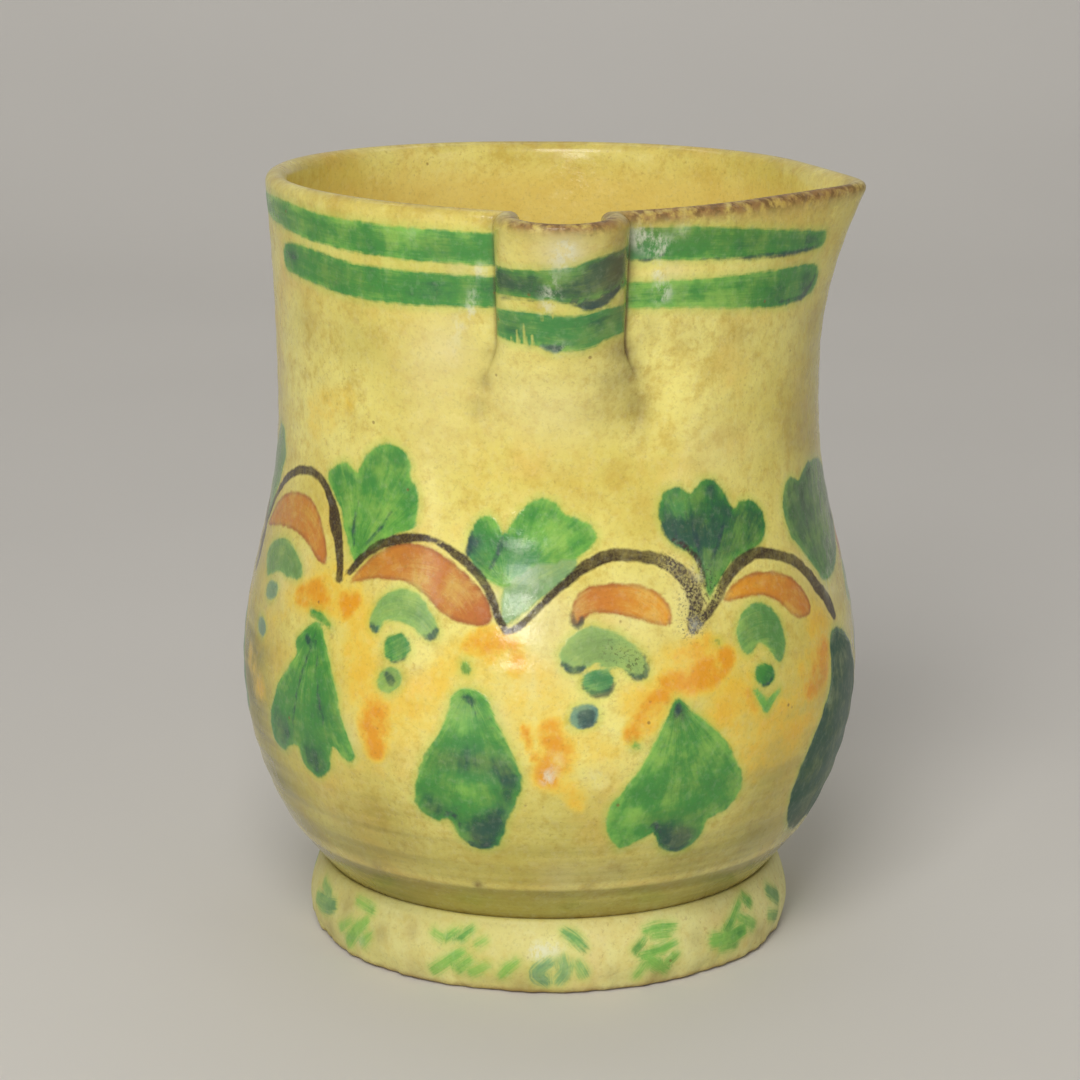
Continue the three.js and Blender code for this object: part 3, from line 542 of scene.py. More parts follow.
class Canvas:  # what the brush has left at each vertex of one piece
    def __init__(self, phi, z):
        self.phi, self.z = phi, z
        self.count = 0
        self.values = {name: np.full(len(phi), -brush["reach"]) for name in paintLayers}
        for name in softLayers:
            self.values[name] = np.zeros(len(phi))
        self.strokes = np.zeros((len(phi), 3))

    def near(self, path, radius):  # vertices close to a path, unrolled to mm about its middle
        middle = (path[:, 0].min() + path[:, 0].max()) / 2
        scale = math.radians(1) * float(outlineAt(path[:, 1].mean()))
        x = wrapped(self.phi - middle) * scale
        px = (path[:, 0] - middle) * scale
        reach = radius + brush["reach"]
        hit = (x > px.min() - reach) & (x < px.max() + reach)
        hit &= (self.z > path[:, 1].min() - reach) & (self.z < path[:, 1].max() + reach)
        return np.nonzero(hit)[0], x[hit], self.z[hit], px

    def lay(self, layer, found, depth, along, side, share, tones):
        wins = depth > self.values[layer][found]
        won = found[wins]
        self.values[layer][won] = np.maximum(depth[wins], -brush["reach"])
        if layer not in ("bare", "mark"):
            start = np.full(len(found), self.count * brush["streakStep"])
            self.strokes[won] = np.stack([along, side, start], 1)[wins]
        for name, (first, last) in tones.items():
            self.values[name][won] = (first + (last - first) * share)[wins]

    def stroke(self, layer, points, **tones):  # a brush drawn along a path
        path = smoothLine(points)
        self.count += 1
        found, x, z, px = self.near(path, path[:, 2].max())
        if not len(found):
            return
        starts = np.stack([px[:-1], path[:-1, 1]], 1)
        span = np.stack([px[1:], path[1:, 1]], 1) - starts
        toX, toZ, t, gap, size = fromPath(x, z, starts, span)
        depth = path[:-1, 2] * (1 - t) + path[1:, 2] * t - gap
        best = depth.argmax(1)
        rows = np.arange(len(found))
        along = np.concatenate([[0], np.cumsum(size)])[best] + t[rows, best] * size[best]
        side = (toX * span[:, 1] - toZ * span[:, 0])[rows, best] / size[best]
        share = along / max(size.sum(), tiny)
        self.lay(layer, found, depth[rows, best], along, side, share, tones)

    def blob(self, layer, points, swept=False, **tones):  # a filled outline
        path = smoothLine(points, closed=True)
        self.count += 1
        found, x, z, px = self.near(path, 0)
        if not len(found):
            return
        starts = np.stack([px, path[:, 1]], 1)
        span = np.roll(starts, -1, axis=0) - starts
        toX, toZ, t, gaps, size = fromPath(x, z, starts, span)
        gap = gaps.min(1)
        above = toZ < 0
        crossing = above != np.roll(above, -1, axis=1)
        slope = span[:, 0] / np.where(span[:, 1] == 0, tiny, span[:, 1])
        inside = (crossing & (toX < toZ * slope)).sum(1) % 2 == 1
        if swept:  # the brush went round an arch
            reach = px.max() - px.min()
            outX, outZ = x - px.mean(), z - path[:, 1].min() + brush["archDrop"]
            along, side = np.arctan2(outX, outZ) * reach / 2, np.hypot(outX, outZ)
            share = np.clip((x - px.min()) / reach, 0, 1)
        else:  # the brush fanned out from the first point
            outX, outZ = x - px[0], z - path[0, 1]
            heading = math.atan2(px.mean() - px[0], path[:, 1].mean() - path[0, 1])
            along = np.hypot(outX, outZ)
            side = np.radians(wrapped(np.degrees(np.arctan2(outX, outZ) - heading))) * brush["fan"]
            share = np.clip(along / np.hypot(px - px[0], path[:, 1] - path[0, 1]).max(), 0, 1)
        self.lay(layer, found, np.where(inside, gap, -gap), along, side, share, tones)

    def soften(self, layer, spot):  # a soft round patch
        phi, z, radius, strength = spot
        x = np.radians(wrapped(self.phi - phi)) * float(outlineAt(z))
        self.values[layer] += strength * np.exp(-(x ** 2 + (self.z - z) ** 2) / radius ** 2)

    def wash(self, strength, points):  # a wet stroke without edges
        path = smoothLine(points)
        found, x, z, px = self.near(path, path[:, 2].max() * 2)
        if len(found):
            far = np.hypot(x[:, None] - px, z[:, None] - path[:, 1]) / path[:, 2]
            laid = strength * np.exp(-(far.min(1) / brush["wetEdge"]) ** brush["wetFall"])
            self.values["wash"][found] = np.maximum(self.values["wash"][found], laid)

    def leaves(self, shapes, shift=0.0, jitter=None, **way):
        for dark, blue, thin, points in shapes:
            turn, lift = shift, 0
            if jitter:
                turn = shift + jitter.uniform(-brush["sway"], brush["sway"])
                lift = jitter.uniform(-brush["lift"], brush["lift"])
            moved = [(p[0] + turn, p[1] + lift, *p[2:]) for p in points]
            tones = {"leafDark": (dark + brush["startDark"], dark + brush["endDark"]),
                     "leafBlue": (blue, blue), "leafThin": (thin, thin)}
            if len(moved[0]) == 3:
                self.stroke("leaf", moved, **tones)
            else:
                self.blob("leaf", moved, **way, **tones)

    def clean(self, hidden):  # nothing is painted there
        for name in paintLayers:
            self.values[name][hidden] = -brush["reach"]
        for name in softLayers:
            self.values[name][hidden] = 0

    def soil(self):  # paint pools, paler patches, painted highlights, painted light and shade, dark accents and dirt, after all strokes are laid
        for layer, spots in softSpots.items():
            for spot in spots:
                self.soften(layer, spot)
        for points in marks:
            self.stroke("mark", points)

    def store(self, mesh):
        for name, value in self.values.items():
            mesh.attributes.new(name, "FLOAT", "POINT").data.foreach_set("value", value.astype(np.float32))
        streaks = mesh.attributes.new("strokes", "FLOAT_VECTOR", "POINT")
        streaks.data.foreach_set("vector", self.strokes.astype(np.float32).ravel())


def paintBody(canvas):  # festoon, leaves and washes round the belly and the foot of the neck
    for points in festoon:
        canvas.stroke("line", points)
    for first, last, points in earthBlobs:
        canvas.blob("earth", points, swept=True, earthRed=(first, last))
    canvas.leaves(umbrellas, swept=True)
    for group in (drops, uprightLeaves, pendantLeaves):
        canvas.leaves(group)
    for strength, points in washes:
        canvas.wash(strength, points)
    hand = random.Random(brush["seed"])
    copied, bays = back["copied"], back["bays"]
    for bay in bays:
        shift = bay - back["copiedAt"]
        lift = hand.uniform(-back["lift"], back["lift"])
        arch = festoon[copied][back["joined"] if bay == bays[0] else 0:]
        canvas.stroke("line", [(phi + shift, z + lift, r) for phi, z, r in arch])
        canvas.blob("earth", [(phi + shift, z + lift) for phi, z in earthBlobs[copied][2]], swept=True,
                    earthRed=(hand.uniform(*back["firstRed"]), hand.uniform(*back["lastRed"])))
        canvas.leaves([umbrellas[copied]], shift, hand, swept=True)
        canvas.leaves(drops[slice(*back["drops"])], shift, hand)
        if bay == bays[-1]:
            break
        canvas.leaves([uprightLeaves[copied], pendantLeaves[copied]], shift, hand)
        for strength, points in washes:
            if back["washes"][0] < points[0][0] < back["washes"][1]:
                share = hand.uniform(*back["washShare"])
                canvas.wash(strength * share, [(phi + shift, z, r) for phi, z, r in points])


def surfaceAngles(points):
    phi = np.degrees(np.arctan2(points[:, 0], -points[:, 1]))
    return phi, points[:, 2] / mm, np.hypot(points[:, 0], points[:, 1]) / mm


# glazes, with colours as a paint chart gives them
glaze = {
    "pale": (238, 228, 132), "honey": (218, 203, 100), "ochre": (202, 174, 74), "blush": (226, 178, 72),
    "inside": (233, 206, 110), "olive": (130, 124, 46), "paleAndLit": (228, 219, 166), "milkAndGlint": (226, 230, 208),
    "leafEdge": (152, 192, 78), "leafLight": (122, 186, 80), "leafMid": (58, 138, 60),
    "leafDeep": (18, 78, 62), "leafBlue": (100, 138, 144), "blueDeep": (50, 80, 98), "mark": (40, 66, 70),
    "yellow": (240, 202, 66), "orange": (228, 150, 20), "terracotta": (182, 98, 58), "ring": (140, 78, 50),
    "brown": (52, 37, 31), "clay": (150, 114, 66), "grit": (96, 82, 46), "stainAndShade": (108, 82, 38),
    "pit": (126, 94, 48), "pepper": (150, 110, 54),
    "bump": .26, "bumpDistance": .001, "ior": 1.42, "coatRoughness": .1,
}
bodyMix = {"roughness": (.14, .32), "coat": .26, "bristle": .6, "soft": .45, "mottle": .6}
footMix = {"pale": (228, 224, 152), "honey": (212, 205, 126), "blush": (214, 186, 120),
           "roughness": (.4, .66), "coat": 0, "bristle": 2.6, "soft": .9, "mottle": .28}
# noise: scale, detail, roughness, then where it fades in and the strengths that it goes between
grains = {
    "cloud": (21, 4, .6, .36, .64), "flush": (34, 4, .65, .5, .74, 0, .5), "mottle": (105, 5, .7, .44, .72),
    "speckle": (420, 4, .7, .45, .75), "pepper": (850, 3, .6, .6, .72, 0, .34),
    "pepperPatch": (28, 2, .5, .4, .62, .2, 1), "ragged": (430, 3, .6), "fine": (900, 2, .5),
    "height": (170, 2, .5), "polish": (60, 3, .5, .3, .7), "broad": (1, 3, .6), "hairs": (1, 2, .6),
    "blotch": (135, 4, .6), "turning": (1, 3, .6, .34, .66, .7, 1.15), "sand": (1600, 3, .6, .4, .58),
    "spatter": (1500, 2, .6, .52, .64), "glintStreaks": (420, 4, .7, .4, .62),
    "stainAndShade": (210, 4, .65, .3, .65, .7, 1), "wear": (260, 4, .65, .32, .55, .35, 1),
    "rubbed": (520, 3, .6, .5, .62, 0, .7), "grit": (1150, 4, .7, .5, .75, 0, .2),
    "bloom": (640, 3, .6, .3, .5, .06, 0), "paper": (3, 2, .5, .3, .7),
}
stretches = {"broad": (.1, .6, 1), "hairs": (.14, 2.4, 1), "turning": (9, 9, 240), "glintStreaks": (1, 1, .6)}
# painted values fade in the same way
fades = {
    "cover": (-.3, .15), "wash": (-.2, .16, .45, 1.15), "washYellow": (.05, .6, 0, .75),
    "washOrange": (.35, 1.05, 0, .85), "earthStreak": (-.35, .3, .16, 0), "earthRing": (.1, 1.3, .6, 0),
    "earth": (-.4, .45), "earthCover": (0, 1, .62, .95), "leafRim": (0, 2.4, -.22, 0),
    "leafMid": (-.1, .45), "leafDeep": (.45, 1.05), "blueDeep": (.2, .9), "leafFringe": (-2.4, .6, 0, .4),
    "bare": (-.25, .25, 1, .15), "leafCover": (0, 1, .8, .97), "mark": (-.35, .5, 0, .8),
    "markCover": (0, 1, .6, 1), "line": (-.3, .4), "spray": (.15, .9), "lineCover": (0, 1, .75, .97),
    "lineSand": (0, 1, .93, 1), "gritty": (0, 1, 1, .5), "paintedGlint": (.08, 1, 0, .75),
    "dull": (.8, 1.1, 0, .4), "pinhole": (.03, .085, 1, 0),
}
# how ragged the edges are, in mm, and how much of each value goes into the next
ragged = {"earth": .6, "leaf": .7, "combed": .6, "bare": .3, "mark": .6, "line": .5, "tint": .16}
shares = {
    "broad": .6, "hairs": .4, "coverStreak": .5, "tintStreak": .7, "tintBlotch": .85, "blue": .8,
    "thin": .9, "spatter": .6, "mostStainAndShade": .9, "wornRough": .35, "speckle": .7, "pit": .6,
    "pinholes": .78, "pinholeScale": 150.0,
    "paintRelief": .2, "pitRelief": -.7, "fineRelief": .26, "edgeRelief": .12,
}


def tone(red, green, blue):  # to scene linear
    linear = []
    for part in (red, green, blue):
        share = part / 255
        linear.append(share / 12.92 if share <= 0.04045 else ((share + 0.055) / 1.055) ** 2.4)
    return (*linear, 1.0)


class Stack:  # a material built up colour over colour
    def __init__(self, name, mix):
        self.material = bpy.data.materials.new(name)
        self.material.use_nodes = True
        self.tree = self.material.node_tree
        self.mix = {**glaze, **mix}
        self.place = addNode(self.tree, "ShaderNodeTexCoord").outputs["Object"]
        self.body = None

    def colour(self, ink):
        return tone(*self.mix[ink]) if isinstance(ink, str) else ink

    def blend(self, factor, under, over):
        made = addNode(self.tree, "ShaderNodeMix", data_type="RGBA")
        for k, value in ((0, factor), (6, self.colour(under)), (7, self.colour(over))):
            plug(self.tree, made.inputs[k], value)
        return made.outputs[2]

    def over(self, factor, ink):
        self.body = self.blend(factor, self.body, ink)

    def times(self, a, b):
        return maths(self.tree, "MULTIPLY", a, b)

    def plus(self, a, b):
        return maths(self.tree, "ADD", a, b)

    def minus(self, a, b):
        return maths(self.tree, "SUBTRACT", a, b)

    def wobble(self, value, edge, share):  # a signed distance with a ragged edge
        return self.plus(value, self.times(edge, share))

    def ramp(self, value, low, high, toLow=0.0, toHigh=1.0, kind="SMOOTHSTEP"):
        levels = {"Value": value, "From Min": low, "From Max": high, "To Min": toLow, "To Max": toHigh}
        return addNode(self.tree, "ShaderNodeMapRange", levels, interpolation_type=kind).outputs["Result"]

    def fade(self, value, name):
        return self.ramp(value, *fades[name])

    def attribute(self, name, output="Fac"):
        return addNode(self.tree, "ShaderNodeAttribute", attribute_name=name).outputs[output]

    def noise(self, name, vector=None):
        scale, detail, rough = grains[name][:3]
        vector = vector or self.place
        if name in stretches:
            vector = addNode(self.tree, "ShaderNodeVectorMath", {0: vector, 1: stretches[name]},
                             operation="MULTIPLY").outputs[0]
        settings = {"Vector": vector, "Scale": scale, "Detail": detail, "Roughness": rough}
        return addNode(self.tree, "ShaderNodeTexNoise", settings).outputs["Fac"]

    def grain(self, name, *strengths):
        return self.ramp(self.noise(name), *grains[name][3:], *strengths)

    def finish(self, inputs):
        shader = self.tree.nodes["Principled BSDF"]
        for name, value in {"Base Color": self.body, **inputs}.items():
            plug(self.tree, shader.inputs[name], value)
        return self.material


def bareGlaze(stack):  # the honey glaze under the painting, mottled, peppered and pinholed
    mottle = stack.mix["mottle"]
    stack.body = stack.blend(stack.grain("cloud"), "honey", "pale")
    stack.over(stack.grain("flush"), "blush")
    stack.over(stack.grain("mottle", 0, mottle), "ochre")
    stack.over(stack.grain("speckle", 0, shares["speckle"] * mottle), "ochre")
    stack.over(stack.times(stack.grain("pepper"), stack.grain("pepperPatch")), "pepper")
    settings = {"Vector": stack.place, "Scale": shares["pinholeScale"], "Randomness": 1.0}
    cells = addNode(stack.tree, "ShaderNodeTexVoronoi", settings).outputs
    picked = addNode(stack.tree, "ShaderNodeSeparateColor", {"Color": cells["Color"]}).outputs[0]
    some = maths(stack.tree, "GREATER_THAN", picked, shares["pinholes"])
    return stack.times(stack.fade(cells["Distance"], "pinhole"), some)


def paintOver(stack, edge):  # the decoration, in the order in which it is laid
    over, blend, fade, grain, noise = stack.over, stack.blend, stack.fade, stack.grain, stack.noise
    times, plus, minus, wobble = stack.times, stack.plus, stack.minus, stack.wobble
    read = {name: stack.attribute(name) for name in paintLayers + softLayers}
    edged = {name: wobble(read[name], edge, ragged[name]) for name in paintLayers}
    strokes = stack.attribute("strokes", "Vector")
    hairs = noise("hairs", strokes)
    broad = times(noise("broad", strokes), shares["broad"])
    streak = minus(plus(broad, times(hairs, shares["hairs"])), .5)
    blotch = minus(noise("blotch"), .5)
    cover = fade(plus(times(streak, shares["coverStreak"]), blotch), "cover")
    tint = plus(times(streak, shares["tintStreak"]), times(blotch, shares["tintBlotch"]))
    tint = wobble(tint, edge, ragged["tint"])

    over(read["inner"], "inside")
    # paler glaze, and painted light on the lit faces
    over(read["paleAndLit"], "paleAndLit")
    # olive glaze and painted shade, streaked by the throwing rings
    over(times(read["oliveAndShade"], grain("turning")), "olive")
    washed = times(read["wash"], fade(blotch, "wash"))
    over(fade(washed, "washYellow"), "yellow")
    over(fade(washed, "washOrange"), "orange")

    earth = blend(read["earthRed"], "orange", "terracotta")
    earth = blend(fade(tint, "earthStreak"), earth, "yellow")
    earth = blend(fade(read["earth"], "earthRing"), earth, "ring")
    over(times(fade(edged["earth"], "earth"), fade(cover, "earthCover")), earth)

    depth = plus(plus(read["leafDark"], tint), fade(edged["leaf"], "leafRim"))
    green = blend(fade(depth, "leafMid"), "leafLight", "leafMid")
    green = blend(fade(depth, "leafDeep"), green, "leafDeep")
    blue = blend(fade(depth, "blueDeep"), "leafBlue", "blueDeep")
    green = blend(times(read["leafBlue"], shares["blue"]), green, blue)
    over(fade(edged["leaf"], "leafFringe"), "leafEdge")
    soft = stack.mix["soft"]
    combed = wobble(read["leaf"], minus(hairs, .5), stack.mix["bristle"])
    leaf = stack.ramp(wobble(combed, edge, ragged["combed"]), -soft, soft)
    leaf = times(leaf, fade(edged["bare"], "bare"))
    thick = minus(fade(cover, "leafCover"), times(read["leafThin"], shares["thin"]))
    over(times(leaf, thick), green)

    over(times(fade(edged["mark"], "mark"), fade(cover, "markCover")), "mark")
    sand = grain("sand")
    spray = fade(read["spray"], "spray")
    solid = times(fade(cover, "lineCover"), fade(sand, "lineSand"))
    gritty = stack.ramp(times(spray, minus(1.0, sand)), *fades["gritty"], "LINEAR")
    over(times(times(fade(edged["line"], "line"), solid), gritty), "brown")
    over(times(times(spray, grain("spatter")), shares["spatter"]), "brown")

    # painted highlights and glints in milky white, broken into streaks
    over(times(fade(read["paintedGlint"], "paintedGlint"), grain("glintStreaks")), "milkAndGlint")
    # brown dirt and painted shade, in blotches
    stainedAndShaded = times(read["stainAndShade"], grain("stainAndShade"))
    over(maths(stack.tree, "MINIMUM", stainedAndShaded, shares["mostStainAndShade"]), "stainAndShade")
    worn = times(read["wear"], grain("wear"))
    over(worn, blend(grain("rubbed"), "clay", "stainAndShade"))
    dull = times(leaf, fade(depth, "dull"))  # thick dark paint dries dull
    return leaf, (times(worn, shares["wornRough"]), dull)


def glazeMaterial(name, painted, mix):
    stack = Stack(name, mix)
    hole = bareGlaze(stack)
    edge = stack.times(stack.minus(stack.noise("ragged"), .5), 2.0)
    height = stack.noise("height")
    rough = stack.grain("polish", *mix["roughness"])
    if painted:
        leaf, dulled = paintOver(stack, edge)
        height = stack.wobble(height, leaf, shares["paintRelief"])
        for part in dulled:
            rough = stack.plus(rough, part)
    stack.over(stack.grain("grit"), "grit")
    stack.over(stack.grain("bloom"), "milkAndGlint")
    stack.over(stack.times(hole, shares["pit"]), "pit")
    height = stack.wobble(height, hole, shares["pitRelief"])
    height = stack.wobble(height, stack.noise("fine"), shares["fineRelief"])
    height = stack.wobble(height, edge, shares["edgeRelief"])
    relief = {"Strength": glaze["bump"], "Distance": glaze["bumpDistance"], "Height": height}
    bump = addNode(stack.tree, "ShaderNodeBump", relief).outputs["Normal"]
    return stack.finish({"Roughness": rough, "Normal": bump, "IOR": glaze["ior"], "Coat Weight": mix["coat"],
                         "Coat Roughness": glaze["coatRoughness"]})


paintedGlaze = glazeMaterial("paintedGlaze", True, bodyMix)
footGlaze = glazeMaterial("footGlaze", True, footMix)
plainGlaze = glazeMaterial("plainGlaze", False, bodyMix)
print("glazes mixed")


def handOver(piece, slot, *nodes):
    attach(piece, "root")
    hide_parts(*nodes)
    print("piece done:", piece.name, len(piece.data.polygons), "faces")


# turned pieces: an outline spun round the axis, as on the wheel

def wheelTree():
    tree, given = newTree("wheelTurned", Int=["Facets"], Material=["Glaze"])
    source = given["Geometry"]
    count = addNode(tree, "GeometryNodeAttributeDomainSize", {"Geometry": source}).outputs["Point Count"]
    columns = maths(tree, "ADD", given["Facets"], 1)
    grid = addNode(tree, "GeometryNodeMeshGrid", {"Size X": 1.0, "Size Y": 1.0, "Vertices X": columns,
                                                  "Vertices Y": count}).outputs["Mesh"]
    position = addNode(tree, "GeometryNodeInputPosition").outputs[0]
    flat = addNode(tree, "ShaderNodeSeparateXYZ", {0: position}).outputs
    row = maths(tree, "ROUND", maths(tree, "MULTIPLY", maths(tree, "ADD", flat["Y"], .5),
                                     maths(tree, "SUBTRACT", count, 1)))
    outline = addNode(tree, "GeometryNodeSampleIndex", data_type="FLOAT_VECTOR", domain="POINT")
    for name, value in (("Geometry", source), ("Value", position), ("Index", row)):
        tree.links.new(value, outline.inputs[name])
    sampled = addNode(tree, "ShaderNodeSeparateXYZ", {0: outline.outputs[0]}).outputs
    angle = maths(tree, "MULTIPLY", maths(tree, "ADD", flat["X"], .5), 2 * math.pi)
    sine, cosine = maths(tree, "SINE", angle), maths(tree, "COSINE", angle)
    spun = addNode(tree, "ShaderNodeCombineXYZ", {
        "X": maths(tree, "MULTIPLY", sampled["X"], sine),
        "Y": maths(tree, "MULTIPLY", sampled["X"], maths(tree, "MULTIPLY", cosine, -1)),
        "Z": sampled["Z"]}).outputs[0]
    placed = addNode(tree, "GeometryNodeSetPosition", {"Geometry": grid, "Position": spun}).outputs[0]
    closed = addNode(tree, "GeometryNodeMergeByDistance", {"Geometry": placed, "Distance": 1e-6}).outputs[0]
    finishTree(tree, closed, given["Glaze"])
    return tree


wheel = wheelTree()


def turnOnWheel(name, line, facets, material):
    host = newObject(name, [(r * mm, 0, z * mm) for r, z in line])
    runTree(host, wheel, {"Facets": facets, "Glaze": material})
    points = pointsOf(host.data)
    return host, points, *surfaceAngles(points)


def seamNormals(phi, outside):  # belly and neck are smoothed as one wall across their joint
    turn = np.radians(phi)
    out = np.stack([np.sin(turn), -np.cos(turn), np.full(len(turn), -clay["shoulderSlope"])], 1)
    return np.where(outside[:, None], out, -out)


# the bowl of the belly lies in the dish of the foot
seat = np.array([clay["seat"], clay["footTop"]], float)
ridgeEdge = np.array(ridgePoint)
inwards = (seat - ridgeEdge) / np.linalg.norm(seat - ridgeEdge)
halfway, lowest = (clay["seat"] / 2, clay["dishAt"]), (0, clay["dishAt"])
bowl = bezier(seat, seat + inwards * clay["seatBend"], halfway, lowest, bowlRows)

belly = {
    "facets": 480, "ridgeRound": 1.6, "nosePull": .6, "noseRows": 6, "waistRows": 11, "insideRows": 26,
    "floorRows": 12, "outsideBy": 2.5, "bowlRadius": 50, "evenRadius": 20, "evenBelow": .5, "inner": .8,
    "waistShade": .58, "waistEdge": (1.4, .4), "lowShade": .48, "lowEdge": (28, 30.5),
    "ridgeShade": .3, "ridgeShadeDrop": 2.4, "ridgeShadeHeight": 1.6, "seamShadow": .7, "seamShadowHeight": 1.1,
}


def makeBelly():
    turnIn = ridgeEdge + inwards * belly["ridgeRound"]
    above = bellyLine[bellyLine[:, 1] > clay["ridgeAt"] + belly["ridgeRound"]]
    waist = np.linspace(seat, turnIn, belly["waistRows"])
    pull = belly["nosePull"]
    leave, arrive = (ridgeEdge * pull + end * (1 - pull) for end in (turnIn, above[0]))
    nose = bezier(turnIn, leave, arrive, above[0], belly["noseRows"])
    share = np.linspace(1, 0, belly["insideRows"])
    pick = bellyLine[np.round(share * (len(bellyLine) - 1)).astype(int)]
    walls = clay["bellyWall"] + (clay["neckWall"] - clay["bellyWall"]) * share
    inside = offsetLine(pick, walls)
    inside[0] = (clay["shoulder"] - clay["neckWall"], clay["shoulderAt"])
    drop = (inside[-1] - inside[-2]) / np.linalg.norm(inside[-1] - inside[-2]) * clay["floorBend"]
    floor = bezier(inside[-1], inside[-1] + drop, (clay["seat"] / 2, clay["floorAt"]), (0, clay["floorAt"]),
                   belly["floorRows"])
    line = np.vstack([bowl[::-1], waist[1:], nose[1:], above[1:], inside, floor[1:]])
    piece, points, phi, z, r = turnOnWheel("bellyClay", line, belly["facets"], paintedGlaze)
    swollen = (r + unevenness(phi, z)) / np.maximum(r, tiny)
    shown = (z > clay["footTop"] + belly["evenBelow"]) & (r > belly["evenRadius"])
    points[:, :2] *= np.where(shown, swollen, 1)[:, None]
    piece.data.vertices.foreach_set("co", points.ravel())

    canvas = Canvas(phi, z)
    paintBody(canvas)
    canvas.soil()
    ridgeAt = clay["ridgeAt"]
    hidden = (r < outlineAt(z) - belly["outsideBy"]) & (z > ridgeAt - 1) | (r < belly["bowlRadius"])
    canvas.clean(hidden)
    canvas.values["inner"][hidden] = belly["inner"]
    # painted shade: darker olive on the waist under the ridge, fading up the low belly
    waistShaded = belly["waistShade"] * (1 - smooth(z, *(ridgeAt - below for below in belly["waistEdge"])))
    low = belly["lowShade"] * (1 - smooth(z, ridgeAt, clay["bellyAt"])) * smooth(z, *belly["lowEdge"])
    canvas.values["oliveAndShade"] += np.where(hidden, 0, waistShaded + low)
    # painted shadow under the ridge and in the seam where the belly meets the foot
    fromRidge = (z - ridgeAt + belly["ridgeShadeDrop"]) / belly["ridgeShadeHeight"]
    fromSeam = (z - clay["footTop"]) / belly["seamShadowHeight"]
    ridgeAndSeamShade = belly["ridgeShade"] * np.exp(-fromRidge ** 2) + belly["seamShadow"] * np.exp(-fromSeam ** 2)
    canvas.values["stainAndShade"] += np.where(hidden, 0, ridgeAndSeamShade)
    canvas.store(piece.data)
    normals = np.zeros((len(points), 3))
    seam = np.abs(z - clay["shoulderAt"]) < .01
    normals[seam] = seamNormals(phi[seam], r[seam] > clay["shoulder"] - belly["outsideBy"])
    piece.data.normals_split_custom_set_from_vertices([tuple(n) for n in normals])
    handOver(piece, "painted_glaze", "belly")


makeBelly()

foot = {
    "facets": 300, "slip": .05, "toeIn": .8, "toeAt": 1.5, "flareSlope": -.35, "cornerPull": (1.4, 0),
    "edgeBelow": (.3, 1.3), "edgeAbove": (.3, 1.5), "flarePull": (0, 1.6), "topPull": (-.3, .9),
    "dishPull": (.9, .1), "underRows": 10, "cornerRows": 6, "toeRows": 8, "flareRows": 22, "topRows": 5,
    "chips": (.26, .22, .24, .3), "chipIn": .25, "chipHeight": 2, "chipRadius": 50,
    "worn": .85, "wornDepth": 1.4, "seamShade": .25, "seamShadeHeight": 2,
    "copied": (24, 0), "sprigReach": 9, "unseen": (94, 270, 24),
}


def chips(turn):  # the bottom edge is knocked about
    wide, mid, short, fine = foot["chips"]
    edge = wide * np.sin(7 * turn + 1) + mid * np.sin(13 * turn + 2)
    edge = edge + short * np.sin(31 * turn) * np.sin(5 * turn + 2)
    return edge + fine * np.sin(67 * turn + np.sin(9 * turn)) * np.sin(11 * turn)


def makeFoot():
    dish = offsetLine(bowl, -foot["slip"])
    dish[-1, 0] = 0
    top = np.array([dish[0, 0] + clay["footEdge"], clay["footTop"] - clay["footEdge"]])
    flare = turned((clay["footWide"], clay["footWideAt"]), top, 0, foot["flareSlope"], foot["flareRows"])
    edge = np.array([clay["footWide"] - foot["toeIn"], foot["toeAt"]])
    base = np.array([clay["footBase"], 0.0])
    under = np.linspace((0, 0), base, foot["underRows"])
    corner = bezier(base, base + foot["cornerPull"], edge - foot["edgeBelow"], edge, foot["cornerRows"])
    toe = bezier(edge, edge + foot["edgeAbove"], flare[0] - foot["flarePull"], flare[0], foot["toeRows"])
    brim = bezier(top, top + foot["topPull"], dish[0] + foot["dishPull"], dish[0], foot["topRows"])
    line = np.vstack([under, corner[1:], toe[1:], flare[1:], brim[1:], dish[1:]])
    piece, points, phi, z, r = turnOnWheel("footClay", line, foot["facets"], footGlaze)
    chipped = np.exp(-((z - foot["toeAt"]) / foot["chipHeight"]) ** 2) * (r > foot["chipRadius"])
    points[:, :2] *= (1 + chipped * (chips(np.radians(phi)) - foot["chipIn"]) / np.maximum(r, 1))[:, None]
    piece.data.vertices.foreach_set("co", points.ravel())

    canvas = Canvas(phi, z)
    canvas.leaves(footDabs)
    hand = random.Random(brush["seed"] + 1)
    for k, turn in enumerate(range(*foot["unseen"])):
        middle = foot["copied"][k % 2]
        sprig = [dab for dab in footDabs if abs(dab[3][0][0] - middle) < foot["sprigReach"]]
        canvas.leaves(sprig, turn - middle, hand)
    canvas.values["wear"] = foot["worn"] * np.exp(-(z / foot["wornDepth"]) ** 2)
    canvas.soil()
    # painted shade on the foot's top, below the seam with the belly
    fromSeam = (z - clay["footTop"]) / foot["seamShadeHeight"]
    canvas.values["oliveAndShade"] += foot["seamShade"] * np.exp(-fromSeam ** 2)
    canvas.store(piece.data)
    handOver(piece, "foot_glaze", "foot")


makeFoot()

# neck and pouring lip are one pulled wall, parted along the lip's joint lines
collar = {
    "lipColumns": 72, "columns": 440, "rimRows": 10, "rimClear": .4, "insideFrom": 2, "insideStep": 3.0,
    "paintedTo": .8, "worn": .3, "wornDepth": 1.9, "rubbedDepth": 5, "lipHalf": 13, "lipFade": (7, 11.5),
    "lipLoss": .8, "rightFrom": (8, 14), "rightTo": (68, 84), "lipRub": .16, "rightRub": .5,
    "inner": .75, "innerFrom": (2, 12),
    "jointLine": .6, "leftJoint": .55, "jointFrom": (142, 158), "jointShade": .5, "jointShadeWidth": 2,
}


